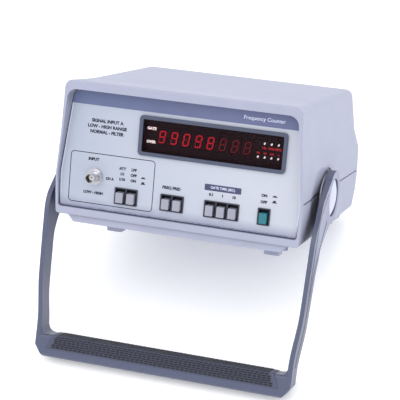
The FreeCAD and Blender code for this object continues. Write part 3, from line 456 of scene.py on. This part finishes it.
def print_and_shade_ink(name, colour):
    """Printing ink, also used for painted shade: dark lines in gaps and grooves, and dark floors in wells.
    """
    finish = Finish(name, colour, 0.5)
    finish.mottle(toned(colour, 1.4), 0.0015, 0.4)
    return finish.grain(0.0003, 0.000005).done()


# Colour, roughness, size of the grain, how rubbed the edges are, how much painted shade darkens the hollows
MOULDED = {
    "case_plastic": (srgb(160, 164, 185), 0.50, 0.0005, 0.3, 0.3),
    "panel_plastic": (srgb(180, 185, 200), 0.5, 0.0005),
    "bezel_plastic": (srgb(70, 77, 98), 0.42, 0.0004),
    "led_package": ((0.008, 0.006, 0.008), 0.6, 0.0006, 0.1),
    "lamp_lens": ((0.12, 0.015, 0.015), 0.25, 0.0006, 0.1),
    "dark_bezel": (srgb(52, 56, 74), 0.45, 0.0004),
    "key_plastic": (srgb(150, 151, 166), 0.34, 0.0004, 0.3, 0.6),
    "power_key_plastic": (srgb(38, 112, 124), 0.25, 0.0005),
    "switch_plastic": ((0.04, 0.04, 0.05), 0.5, 0.0006),
    "ptfe": ((0.82, 0.82, 0.80), 0.45, 0.0008, 0.0),
    "chip_plastic": ((0.025, 0.025, 0.027), 0.55, 0.0005),
    "capacitor_sleeve": ((0.03, 0.04, 0.12), 0.3, 0.0009),
    "coil_tape": ((0.50, 0.36, 0.08), 0.3, 0.0015),
    "rear_plate": (srgb(176, 181, 200), 0.5, 0.0009),
    "black_plastic": ((0.022, 0.022, 0.025), 0.42, 0.0005),
    "slider_plastic": ((0.55, 0.04, 0.03), 0.32, 0.0006),
    "hub_cap_plastic": (srgb(200, 204, 226), 0.42, 0.0004),
    "grip_rubber": (srgb(74, 77, 100), 0.6, 0.0007),
}
# Colour, roughness and, for brushed or drawn metal, how the grain is stretched
METALS = {
    "nickel_plate": ((0.62, 0.62, 0.66), 0.16),
    "contact_metal": ((0.76, 0.68, 0.50), 0.22),
    "tinned_steel": ((0.62, 0.62, 0.62), 0.38, (1, 6, 1)),
    "heat_sink_metal": ((0.06, 0.06, 0.065), 0.45, (1, 1, 0.1)),
    "zinc_steel": ((0.60, 0.61, 0.62), 0.34),
    "spring_steel": ((0.45, 0.45, 0.46), 0.28),
}
FINISHES = {
    "overlay_film": panel_film(),
    "title_film": title_film(),
    "window_acrylic": window(),
    "circuit_board": circuit_board(),
    "core_steel": laminations(),
    "cable_plastic": ribbon(),
    "handle_plastic": handle_plastic(),
}
FINISHES.update({name: moulded(name, *settings) for name, settings in MOULDED.items()})
FINISHES.update({name: metal(name, *settings) for name, settings in METALS.items()})
for part in frame["record"]["subparts"]:
    mesh = nodes[part["node"]].data
    mesh.materials.clear()
    mesh.materials.append(FINISHES[part["material_slot"]])


# ---- Making pieces

def piece(name, mesh_data, body, material):
    """Adds a piece whose vertices are already in place, and lets it ride on a body."""
    mesh = bpy.data.meshes.new(name)
    mesh_data.to_mesh(mesh)
    mesh_data.free()
    mesh.materials.append(material)
    obj = bpy.data.objects.new(name, mesh)
    scene.collection.objects.link(obj)
    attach(obj, body)


def join_rings(mesh, one, other):
    """Faces between two rings that have the same number of vertices."""
    count = len(one)
    for index in range(count):
        after = (index + 1) % count
        mesh.faces.new((one[index], one[after], other[after], other[index]))


def outline_ring(mesh, outline, y, place):
    """New vertices on an (x, z) outline in millimetres, at this depth."""
    return [mesh.verts.new(place @ Vector((x * MM, y * MM, z * MM))) for x, z in outline]


def add_slab(mesh, outline, place, face, depth):
    """Adds a thin slab on an (x, z) outline, standing towards -Y from 'face'. All in millimetres."""
    back = outline_ring(mesh, outline, face, place)
    front = outline_ring(mesh, outline, face - depth, place)
    mesh.faces.new(back)
    mesh.faces.new(list(reversed(front)))
    join_rings(mesh, front, back)


CORNER_STEPS = 6
LEAST_RADIUS = 0.05


def rounded_outline(x0, x1, z0, z1, radius):
    """Points round a rectangle with rounded corners."""
    points = []
    centres = ((x1 - radius, z1 - radius, 0), (x0 + radius, z1 - radius, 90),
               (x0 + radius, z0 + radius, 180), (x1 - radius, z0 + radius, 270))
    for x, z, start in centres:
        for step in range(CORNER_STEPS + 1):
            angle = math.radians(start + 90 * step / CORNER_STEPS)
            points.append((x + radius * math.cos(angle), z + radius * math.sin(angle)))
    return points


def add_ring(mesh, x0, x1, z0, z1, radius, line, place, face, depth):
    """Adds a rounded rectangular line of this width, lying on a face."""
    outer = rounded_outline(x0, x1, z0, z1, radius)
    inner = rounded_outline(x0 + line, x1 - line, z0 + line, z1 - line, max(LEAST_RADIUS, radius - line))
    add_band(mesh, outer, inner, place, face, depth)


def add_band(mesh, outer, inner, place, face, depth):
    """Adds the band between two outlines that have the same number of points."""
    sections = ((outer, face), (outer, face - depth), (inner, face - depth), (inner, face))
    rings = [outline_ring(mesh, outline, y, place) for outline, y in sections]
    for one, other in zip(rings, rings[1:] + rings[:1]):
        join_rings(mesh, one, other)


# A capital's height as a share of the type size, and how far strokes are widened on each side
CAPITAL = 0.70
STROKE_GROWTH = 0.11
TEXT_CURVE_STEPS = 3


def add_text(mesh, words, size, x, z, place, face, depth=0.06, turned=False, growth=STROKE_GROWTH):
    """Adds lettering whose capitals are this many millimetres high, proud of a face. Turned lettering
    reads from behind."""
    curve = bpy.data.curves.new("words", "FONT")
    curve.body = words
    curve.size = size / CAPITAL * MM
    curve.align_x = "CENTER"
    curve.align_y = "CENTER"
    curve.extrude = depth / 2 * MM
    curve.offset = growth * MM
    curve.resolution_u = TEXT_CURVE_STEPS
    holder = bpy.data.objects.new("words", curve)
    scene.collection.objects.link(holder)
    flat = bpy.data.meshes.new_from_object(holder.evaluated_get(bpy.context.evaluated_depsgraph_get()))
    upright = Matrix.Rotation(math.pi / 2, 4, "X")
    y = face - depth / 2
    if turned:
        upright = Matrix.Rotation(math.pi, 4, "Z") @ upright
        y = face + depth / 2
    spot = Matrix.Translation((x * MM, y * MM, z * MM))
    flat.transform(place @ spot @ upright)
    mesh.from_mesh(flat)
    bpy.data.meshes.remove(flat)
    bpy.data.objects.remove(holder)
    bpy.data.curves.remove(curve)


# ---- Display: seven-segment digits, lamps and legends behind the window
READING = "99098"
SEGMENTS = {"0": "abcdef", "8": "abcdefg", "9": "abcdfg"}
DIGIT_COUNT = 8
PACKAGE_WIDTH = 10.8
FIGURE_WIDTH = 5.9
FIGURE_HEIGHT = 11.2
SEGMENT_WIDTH = 1.05
SEGMENT_GAP = 0.14
SLANT = math.tan(math.radians(9))
SEGMENT_DEPTH = 0.25


def segment_outlines():
    """The seven segments as (x, z) outlines round the figure's middle, before the slant."""
    half_x, half_z = FIGURE_WIDTH / 2 - SEGMENT_WIDTH / 2, FIGURE_HEIGHT / 2 - SEGMENT_WIDTH / 2
    ends = {
        "a": ((-half_x, half_z), (half_x, half_z)),
        "g": ((-half_x, 0), (half_x, 0)),
        "d": ((-half_x, -half_z), (half_x, -half_z)),
        "f": ((-half_x, 0), (-half_x, half_z)),
        "b": ((half_x, 0), (half_x, half_z)),
        "e": ((-half_x, -half_z), (-half_x, 0)),
        "c": ((half_x, -half_z), (half_x, 0)),
    }
    near, half = SEGMENT_GAP, SEGMENT_WIDTH / 2
    outlines = {}
    for name, (start, end) in ends.items():
        along = Vector(end) - Vector(start)
        far = along.length - SEGMENT_GAP
        along.normalize()
        side = Vector((-along.y, along.x))
        points = [(near, 0), (near + half, -half), (far - half, -half),
                  (far, 0), (far - half, half), (near + half, half)]
        outlines[name] = [tuple(Vector(start) + along * u + side * v) for u, v in points]
    return outlines


def display():
    """Lit and unlit segments on the faces of the digit packages; the unlit ones are red with a faint painted
    glow.
    """
    x0, x1, face, _, z0, z1 = box_in("led_digits", case)
    pitch = (x1 - x0 - PACKAGE_WIDTH) / (DIGIT_COUNT - 1)
    lit, unlit = bmesh.new(), bmesh.new()
    for index in range(DIGIT_COUNT):
        centre = x0 + PACKAGE_WIDTH / 2 + index * pitch
        shown = SEGMENTS[READING[index]] if index < len(READING) else ""
        for name, outline in segment_outlines().items():
            points = [(centre + x + z * SLANT, (z0 + z1) / 2 + z) for x, z in outline]
            add_slab(lit if name in shown else unlit, points, case, face, SEGMENT_DEPTH)
    piece("lit_segments", lit, "case", glow("segment_glow", srgb(232, 28, 46), 0.85))
    # The unlit segments: red like the segments' diffuser, with a faint glow that is painted light, as they
    # are not lit
    dim = Finish("unlit_segment_glow", srgb(120, 22, 26), 0.4)
    dim.surface.inputs["Emission Color"].default_value = (*srgb(150, 20, 24), 1)
    dim.surface.inputs["Emission Strength"].default_value = 0.5
    dim.mottle(srgb(70, 14, 18), 0.001).grain()
    piece("unlit_segments", unlit, "case", dim.done())


# Lamp dots: the first one's x, the pitch and z of each row, and the words lit beside them
UPPER_LAMPS = (73.8, 6.3, 48.3, ("Hz", "kHz", "MHz"))
LOWER_LAMPS = (68.7, 6.1, 36.2, ("ns", "us", "ms", "s"))
UPPER_LEGEND_RISE = -3.9
LOWER_LEGEND_RISE = 3.8
LEGEND_HEIGHT = 2.1
LEGEND_DEPTH = 0.2
DOT_HALF_WIDTH = 0.75
DOT_HALF_HEIGHT = 1.05
DOT_LEAN = 0.25
DOT_STEPS = 20
DOT_DEPTH = 0.35
LAMP_WORD_X = -30
LAMP_WORD_HEIGHT = 2.3
LAMP_WORD_DEPTH = 0.3


def lamps():
    """White dot lamps at the right of the digits, with red legends, and two legend lamps at the left."""
    face = box_in("indicator_leds", case)[2]
    dots, legends = bmesh.new(), bmesh.new()
    for row, rise in ((UPPER_LAMPS, UPPER_LEGEND_RISE), (LOWER_LAMPS, LOWER_LEGEND_RISE)):
        first_x, pitch, z, names = row
        for index, name in enumerate(names):
            x = first_x + pitch * index
            turns = [math.tau * step / DOT_STEPS for step in range(DOT_STEPS)]
            oval = [(x + DOT_HALF_WIDTH * math.cos(turn) + DOT_LEAN * math.sin(turn),
                     z + DOT_HALF_HEIGHT * math.sin(turn)) for turn in turns]
            add_slab(dots, oval, case, face, DOT_DEPTH)
            add_text(legends, name, LEGEND_HEIGHT, x, z + rise, case, face, LEGEND_DEPTH)
    piece("lamp_dots", dots, "case", glow("lamp_white", (1.0, 0.93, 0.93), 1.6))
    words = bmesh.new()
    for word, z in (("GATE", 48.8), ("OVER", 36.8)):
        add_text(words, word, LAMP_WORD_HEIGHT, LAMP_WORD_X, z, case, face, LAMP_WORD_DEPTH)
    piece("lamp_words", words, "case", glow("lamp_word_glow", (1.0, 0.86, 0.86), 2.2))
    piece("lamp_legends", legends, "case", glow("legend_red", srgb(214, 52, 54), 0.9))


MASK_MARGIN = 0.2
MASK_CORNER = 1.0
MASK_LINE = 1.8
MASK_DEPTH = 0.06
BAFFLE_MARGIN = 1
BAFFLE_BEHIND_LAMPS = 0.6
BAFFLE_DEPTH = 0.4


def window_mask():
    """The black border printed on the back of the window, and the board behind the digits."""
    x0, x1, _, back, z0, z1 = box_in("display_window", case)
    mask = bmesh.new()
    add_ring(mask, x0 + MASK_MARGIN, x1 - MASK_MARGIN, z0 + MASK_MARGIN, z1 - MASK_MARGIN,
             MASK_CORNER, MASK_LINE, case, back + 2 * MASK_DEPTH, MASK_DEPTH)
    piece("window_mask", mask, "case", print_and_shade_ink("mask_ink", (0.006, 0.007, 0.009)))
    lamp_front = box_in("indicator_leds", case)[2]
    outline = rounded_outline(x0 + BAFFLE_MARGIN, x1 - BAFFLE_MARGIN,
                              z0 + BAFFLE_MARGIN, z1 - BAFFLE_MARGIN, MASK_CORNER)
    baffle = bmesh.new()
    add_slab(baffle, outline, case, lamp_front + BAFFLE_BEHIND_LAMPS, BAFFLE_DEPTH)
    piece("display_mask", baffle, "case", print_and_shade_ink("baffle_black", (0.010, 0.007, 0.010)))


# ---- Lines round the front panel's edge: a painted shadow in the gap and a painted highlight inside it
BOTTOM_HALF_WIDTH = 111.7
MIDDLE_HALF_WIDTH = 112.9
TOP_HALF_WIDTH = 105.2
BOTTOM_CORNER = 3.0
TOP_CORNER = 9.0
LEAST_CORNER = 0.5
PANEL_CORNER_STEPS = 8
GAP_WIDTH = 0.9
GAP_DEPTH = 0.10
BORDER_INSIDE = 2.0
BORDER_DEPTH = 0.08
PRINT_SINK = 0.02


def panel_line_outline(shrink, low_z, high_z):
    """Points round the panel's own outline, moved inwards by this many millimetres."""
    right = []
    # Half width, height and radius of the corner, where its arc starts, and which way is outwards
    lower = (BOTTOM_HALF_WIDTH, low_z, BOTTOM_CORNER, -90, -1)
    upper = (TOP_HALF_WIDTH, high_z, TOP_CORNER, 0, 1)
    for half, z, corner, turn, upward in (lower, upper):
        if upward > 0:
            right.append((MIDDLE_HALF_WIDTH - shrink, 0))
        radius = corner - min(shrink, corner - LEAST_CORNER)
        x = half - shrink - radius
        centre_z = z - upward * (shrink + radius)
        for step in range(PANEL_CORNER_STEPS + 1):
            angle = math.radians(turn + 90 * step / PANEL_CORNER_STEPS)
            right.append((x + radius * math.cos(angle), centre_z + radius * math.sin(angle)))
    return right + [(-x, z) for x, z in reversed(right)]


def panel_ring(outer_shrink, inner_shrink, depth):
    """A line that follows the panel's edge, as a new mesh."""
    _, _, face, _, low_z, high_z = box_in("panel_overlay", case)
    mesh = bmesh.new()
    outer = panel_line_outline(outer_shrink, low_z, high_z)
    inner = panel_line_outline(inner_shrink, low_z, high_z)
    add_band(mesh, outer, inner, case, face + PRINT_SINK, depth)
    return mesh


def panel_edge():
    """The painted shadow in the gap round the panel, and inside it a painted highlight along the edge that
    painted shadow darkens towards the foot.
    """
    # Painted shadow in the gap round the panel
    gap = panel_ring(0.0, GAP_WIDTH, GAP_DEPTH)
    piece("panel_gap", gap, "case", print_and_shade_ink("gap_shadow", srgb(54, 58, 80)))
    # A painted highlight along the panel's edge, with painted shadow darkening it towards the foot
    paint = Finish("border_highlight", srgb(206, 211, 224), 0.45)
    foot = panel_foot()
    paint.blend(paint.ramp(paint.place_along("Z"), foot + 0.012, foot + 0.003), srgb(112, 116, 142))
    paint.mottle(srgb(190, 195, 210), 0.004, 0.4).grain()
    border = panel_ring(GAP_WIDTH, BORDER_INSIDE, BORDER_DEPTH)
    piece("panel_edge_highlight", border, "case", paint.done())


# ---- Front panel printing, in millimetres
PRINT_GROWTH = 0.22
PRINT_DEPTH = 0.07
# Lines of words, the capitals' height, x, the first line's z and the step down to the next
PANEL_LABELS = (
    (("SIGNAL INPUT A", "LOW - HIGH RANGE", "NORMAL - FILTER"), 2.8, -70.5, 50.2, 5.0),
    (("INPUT",), 2.5, -81, 15, 0),
    (("CH A",), 2.2, -64.6, -1, 0),
    (("LOW - HIGH",), 2.3, -79.5, -15.5, 0),
    (("ATT", "1/1", "1/10"), 2.3, -53, 9.8, 4.9),
    (("LPF", "OFF", "ON"), 2.3, -42.2, 9.8, 4.9),
    (("FREQ PRID",), 2.5, -6, -1.6, 0),
    (("0.1",), 2.3, 31, -2.2, 0),
    (("1",), 2.3, 41.4, -2.2, 0),
    (("10",), 2.3, 51.8, -2.2, 0),
    (("ON", "OFF"), 2.3, 79, 3.5, 5.8),
)
PUSH_SYMBOL_X = (-33, 88.5)
PUSH_SYMBOL_Z = 0.5
# Boxes are left, right, lower and upper edge
INPUT_BOX = (-103.3, -22.6, -25.9, 20.8)
INPUT_BOX_CORNER = 3.5
INPUT_BOX_LINE = 0.7
GATE_LABEL = (24.4, 58, 1.3, 7.0)
GATE_LABEL_CORNER = 0.8
# Words, the capitals' height, x and z
GATE_WORDS = ("GATE TIME (SEC)", 2.1, 41.2, 4.2)
GATE_WORDS_PROUD = 0.05
GATE_WORDS_GROWTH = 0.05
TITLE_HEIGHT = 3.3
TITLE_X = 73
TITLE_GROWTH = 0.04


def panel_printing():
    """Dark lettering, symbols and the input box, the gate label's plate, and the light lettering."""
    face = box_in("panel_overlay", case)[2]
    dark = bmesh.new()
    for lines, height, x, z, step in PANEL_LABELS:
        for row, words in enumerate(lines):
            add_text(dark, words, height, x, z - step * row, case, face, growth=PRINT_GROWTH)
    for x in PUSH_SYMBOL_X:
        add_push_symbols(dark, x, PUSH_SYMBOL_Z, face)
    add_ring(dark, *INPUT_BOX, INPUT_BOX_CORNER, INPUT_BOX_LINE, case, face + PRINT_SINK, PRINT_DEPTH)
    piece("panel_printing", dark, "case", print_and_shade_ink("dark_ink", srgb(22, 24, 46)))
    plate = bmesh.new()
    add_slab(plate, rounded_outline(*GATE_LABEL, GATE_LABEL_CORNER), case, face + PRINT_SINK, PRINT_DEPTH)
    piece("gate_label", plate, "case", print_and_shade_ink("label_ink", srgb(60, 63, 96)))
    light = bmesh.new()
    add_text(light, *GATE_WORDS, case, face - GATE_WORDS_PROUD, growth=GATE_WORDS_GROWTH)
    _, _, strip_face, _, strip_low, strip_high = box_in("title_strip", case)
    title_z = (strip_low + strip_high) / 2
    add_text(light, "Frequency Counter", TITLE_HEIGHT, TITLE_X, title_z, case, strip_face,
             growth=TITLE_GROWTH)
    piece("light_printing", light, "case", print_and_shade_ink("light_ink", srgb(206, 211, 232)))


# How far above the middle each mark's foot is, and the mark's whole height
PUSH_MARKS = ((2.6, 1.5), (-2.6, 2.3))
BAR_HALF_WIDTH = 2.1
BAR_HEIGHT = 0.8
STEP_HALF_WIDTH = 1.3


def add_push_symbols(mesh, x, z, face):
    """The two marks beside the latching buttons: a bar with a step on it."""
    for rise, height in PUSH_MARKS:
        foot = z + rise
        for half, low_z, high_z in ((BAR_HALF_WIDTH, foot, foot + BAR_HEIGHT),
                                    (STEP_HALF_WIDTH, foot + BAR_HEIGHT, foot + height)):
            outline = [(x - half, low_z), (x + half, low_z), (x + half, high_z), (x - half, high_z)]
            add_slab(mesh, outline, case, face + PRINT_SINK, PRINT_DEPTH)


# ---- Painted shade: dark floors in the button wells, round the stems
WELL_MARGIN = 1.1
WELL_HALF_HEIGHT = 6.7
STEM_CLEARANCE = 2.1
WELL_FLOOR_Y = 13.4
WELL_FLOOR_DEPTH = 0.4
WELL_CORNER = 0.3
STEM_CORNER = 0.2
STEM_ABOVE_CAP = 1.0


def well_floors():
    """A dark frame of painted shade at the back of each button's well, open round the stem."""
    mesh = bmesh.new()
    for part in frame["record"]["subparts"]:
        if not part["material_slot"].endswith("key_plastic"):
            continue
        x0, x1, _, _, z0, z1 = box_in(part["node"], case)
        x, z = (x0 + x1) / 2, (z0 + z1) / 2 + STEM_ABOVE_CAP
        outer = rounded_outline(x0 - WELL_MARGIN, x1 + WELL_MARGIN,
                                z - WELL_HALF_HEIGHT, z + WELL_HALF_HEIGHT, WELL_CORNER)
        inner = rounded_outline(x - STEM_CLEARANCE, x + STEM_CLEARANCE,
                                z - STEM_CLEARANCE, z + STEM_CLEARANCE, STEM_CORNER)
        add_band(mesh, outer, inner, case, WELL_FLOOR_Y, WELL_FLOOR_DEPTH)
    piece("well_floors", mesh, "case", print_and_shade_ink("well_shadow", (0.010, 0.010, 0.014)))


# ---- Rear panel printing: the part that is named, the words, and how far they are above it
REAR_LETTER_HEIGHT = 2.6
REAR_LABELS = (
    ("mains_inlet", "AC INPUT", 4),
    ("fuse_holder", "FUSE", 4),
    ("voltage_selector", "230   115", 3.5),
)


def rear_printing():
    """Names over the inlet, the fuse and the selector's two settings."""
    face = box_in("rear_panel", case)[3]
    dark = bmesh.new()
    for node, words, rise in REAR_LABELS:
        x0, x1, _, _, _, z1 = box_in(node, case)
        add_text(dark, words, REAR_LETTER_HEIGHT, (x0 + x1) / 2, z1 + rise, case, face, turned=True)
    piece("rear_printing", dark, "case", print_and_shade_ink("rear_ink", srgb(52, 56, 74)))


# ---- Grip: rows of slanted rubber lozenges on the front, back and top of the pad
RIB_ROWS = 6
TOP_RIB_ROWS = 5
RIB_PITCH = 4.3
RIB_LENGTH = 3.5
RIB_SLANT = 0.9
RIB_HEIGHT = 0.55
RIB_ROOT = -0.1
RIB_CHAMFER = 0.25
# Heights over the pad, each with how far the rib's outline is drawn in there. Their order sets the
# diagonal that splits the slightly twisted chamfers.
SIDE_RIB_LEVELS = ((RIB_ROOT, 0.0), (RIB_HEIGHT * 0.6, 0.0), (RIB_HEIGHT, RIB_CHAMFER))
TOP_RIB_LEVELS = ((RIB_HEIGHT * 0.6, RIB_CHAMFER), (RIB_ROOT, 0.0))
RIB_TOP_MARGIN = 0.3
RIB_BOTTOM_MARGIN = 0.7
RIB_END_MARGIN = 3.0
RIB_END_TAPER = 5.0
TOP_RIB_END_MARGIN = 8.5
SIDE_RIB_SHARE = 0.33
TOP_RIB_SHARE = 0.30


def grip_ribs():
    """The ribs, in rows that get shorter towards the top as the pad does."""
    _, x1, y0, y1, z0, z1 = box_in("grip_pad", arm)
    mesh = bmesh.new()
    top, bottom = z1 - RIB_TOP_MARGIN, z0 + RIB_BOTTOM_MARGIN
    pitch = (top - bottom) / RIB_ROWS
    for row in range(RIB_ROWS):
        z = bottom + (row + 0.5) * pitch
        half_length = x1 - RIB_END_MARGIN - RIB_END_TAPER * (z - z0) / (z1 - z0)
        for x in rib_places(half_length):
            for face, out in ((y0, -1), (y1, 1)):
                add_rib(mesh, pitch * SIDE_RIB_SHARE, SIDE_RIB_LEVELS[::-out],
                        lambda u, v, proud: (x + u, face + out * proud, z + v))
    pitch = (y1 - y0 - 2 * RIB_TOP_MARGIN) / TOP_RIB_ROWS
    for row in range(TOP_RIB_ROWS):
        y = y0 + RIB_TOP_MARGIN + (row + 0.5) * pitch
        for x in rib_places(x1 - TOP_RIB_END_MARGIN):
            add_rib(mesh, pitch * TOP_RIB_SHARE, TOP_RIB_LEVELS,
                    lambda u, v, proud: (x + u, y + v, z1 + proud))
    bmesh.ops.recalc_face_normals(mesh, faces=mesh.faces)
    rubber = moulded("rib_rubber", srgb(24, 26, 36), 0.6, 0.0006, 0.1)
    piece("grip_ribs", mesh, "handle", rubber)


def rib_places(half_length):
    """Evenly spaced x positions of the ribs in a row of this half length."""
    count = int(2 * half_length / RIB_PITCH)
    return [(index - (count - 1) / 2) * RIB_PITCH for index in range(count)]


def add_rib(mesh, half_width, levels, spot):
    """One rib. 'spot' turns (along, across, proud) into a place in the arm's frame, in millimetres."""
    rings = []
    for proud, shrink in levels:
        half, width = RIB_LENGTH / 2 - shrink, half_width - shrink
        corners = [(-half + RIB_SLANT / 2, width), (-half - RIB_SLANT / 2, -width),
                   (half - RIB_SLANT / 2, -width), (half + RIB_SLANT / 2, width)]
        rings.append([mesh.verts.new(arm @ (Vector(spot(u, v, proud)) * MM)) for u, v in corners])
    close_tube(mesh, rings)


def close_tube(mesh, rings):
    """Faces along a row of rings and over both its ends."""
    for one, other in zip(rings, rings[1:]):
        join_rings(mesh, one, other)
    mesh.faces.new(rings[0])
    mesh.faces.new(rings[-1])


# ---- Grooves on the outer face of each arm: two lines that run together into one
GROOVE_HALF_WIDTH = 1.3
GROOVE_STEPS = 10
GROOVE_LINES = (
    ((-28, 4), (-62, -19), (-69.5, -41), (-69, -73), (-66, -98), (-66, -150)),
    ((-20, -21), (-48, -41), (-61, -58), (-64.8, -78), (-66, -98)),
)
# Rays start outside the object, and hits nearer the middle than an arm are left out
ARM_LEAST_X = 115
OUTSIDE_X = 200
# How far a strip reaches under the surface and stands above it
STRIP_ROOT = 0.10
STRIP_PROUD = 0.05


def smooth_path(points):
    """A Catmull-Rom curve through (y, z) points, sampled evenly between each pair."""
    path = []
    ends = [points[0], *points, points[-1]]
    for corners in zip(ends, ends[1:], ends[2:], ends[3:]):
        for step in range(GROOVE_STEPS):
            t = step / GROOVE_STEPS
            weights = (-t / 2 + t * t - t ** 3 / 2, 1 - 2.5 * t * t + 1.5 * t ** 3,
                       t / 2 + 2 * t * t - 1.5 * t ** 3, (t ** 3 - t * t) / 2)
            y, z = (sum(w * corner[axis] for w, corner in zip(weights, corners)) for axis in (0, 1))
            path.append(Vector((y, z)))
    path.append(Vector(points[-1]))
    return path


def skin_of(node, place):
    """A CAD node's surface in one of the working frames, to cast rays at."""
    mesh, back = nodes[node].data, place.inverted()
    return BVHTree.FromPolygons([back @ vertex.co for vertex in mesh.vertices],
                                [tuple(face.vertices) for face in mesh.polygons])


def from_outside(skin, side, y, z):
    """Where a ray from this side, towards the middle, first meets the surface."""
    start = Vector((side * OUTSIDE_X * MM, y * MM, z * MM))
    return skin.ray_cast(start, Vector((-side, 0, 0)))[0]


def arm_grooves():
    """Dark lines that follow the arms' curved outer faces."""
    skin = skin_of("handle_bail", arm)
    mesh = bmesh.new()
    for side in (-1, 1):
        for line in GROOVE_LINES:
            path = smooth_path(line)
            rows = []
            for index, spot in enumerate(path):
                ahead = path[min(index + 1, len(path) - 1)] - path[max(index - 1, 0)]
                ahead.normalize()
                across = Vector((-ahead.y, ahead.x)) * GROOVE_HALF_WIDTH
                row = [from_outside(skin, side, *edge) for edge in (spot - across, spot + across)]
                if all(hit is not None and abs(hit.x) > ARM_LEAST_X * MM for hit in row):
                    rows.append(row)
            add_strip(mesh, rows, side, arm)
    bmesh.ops.recalc_face_normals(mesh, faces=mesh.faces)
    piece("arm_grooves", mesh, "handle", print_and_shade_ink("groove_shadow", srgb(34, 37, 52)))


def add_strip(mesh, rows, side, place):
    """A thin closed strip through pairs of points, just proud of the surface they lie on."""
    under, over = Vector((-side * STRIP_ROOT * MM, 0, 0)), Vector((side * STRIP_PROUD * MM, 0, 0))
    rings = []
    for left, right in rows:
        corners = (left + under, right + under, right + over, left + over)
        rings.append([mesh.verts.new(place @ corner) for corner in corners])
    close_tube(mesh, rings)


# ---- The joint between the two covers: the spans of y, in front of and behind the hub
SEAM_HALF_HEIGHT = 0.85
SEAM_STEPS = 24
SEAM_SPANS = ((2.5, 69), (111, 193))


def cover_joint():
    """A dark line over the groove between the covers, along each side."""
    skin = skin_of("upper_cover", case)
    mesh = bmesh.new()
    for side in (-1, 1):
        for start_y, end_y in SEAM_SPANS:
            rows = []
            for step in range(SEAM_STEPS + 1):
                y = start_y + (end_y - start_y) * step / SEAM_STEPS
                hit = from_outside(skin, side, y, 2 * SEAM_HALF_HEIGHT)
                if hit is not None:
                    edges = (-SEAM_HALF_HEIGHT, SEAM_HALF_HEIGHT)
                    rows.append([Vector((hit.x, hit.y, z * MM)) for z in edges])
            add_strip(mesh, rows, side, case)
    bmesh.ops.recalc_face_normals(mesh, faces=mesh.faces)
    piece("cover_joint", mesh, "case", print_and_shade_ink("joint_shadow", srgb(38, 41, 58)))


arm_grooves()
cover_joint()
panel_edge()
well_floors()
display()
lamps()
window_mask()
panel_printing()
rear_printing()
grip_ribs()
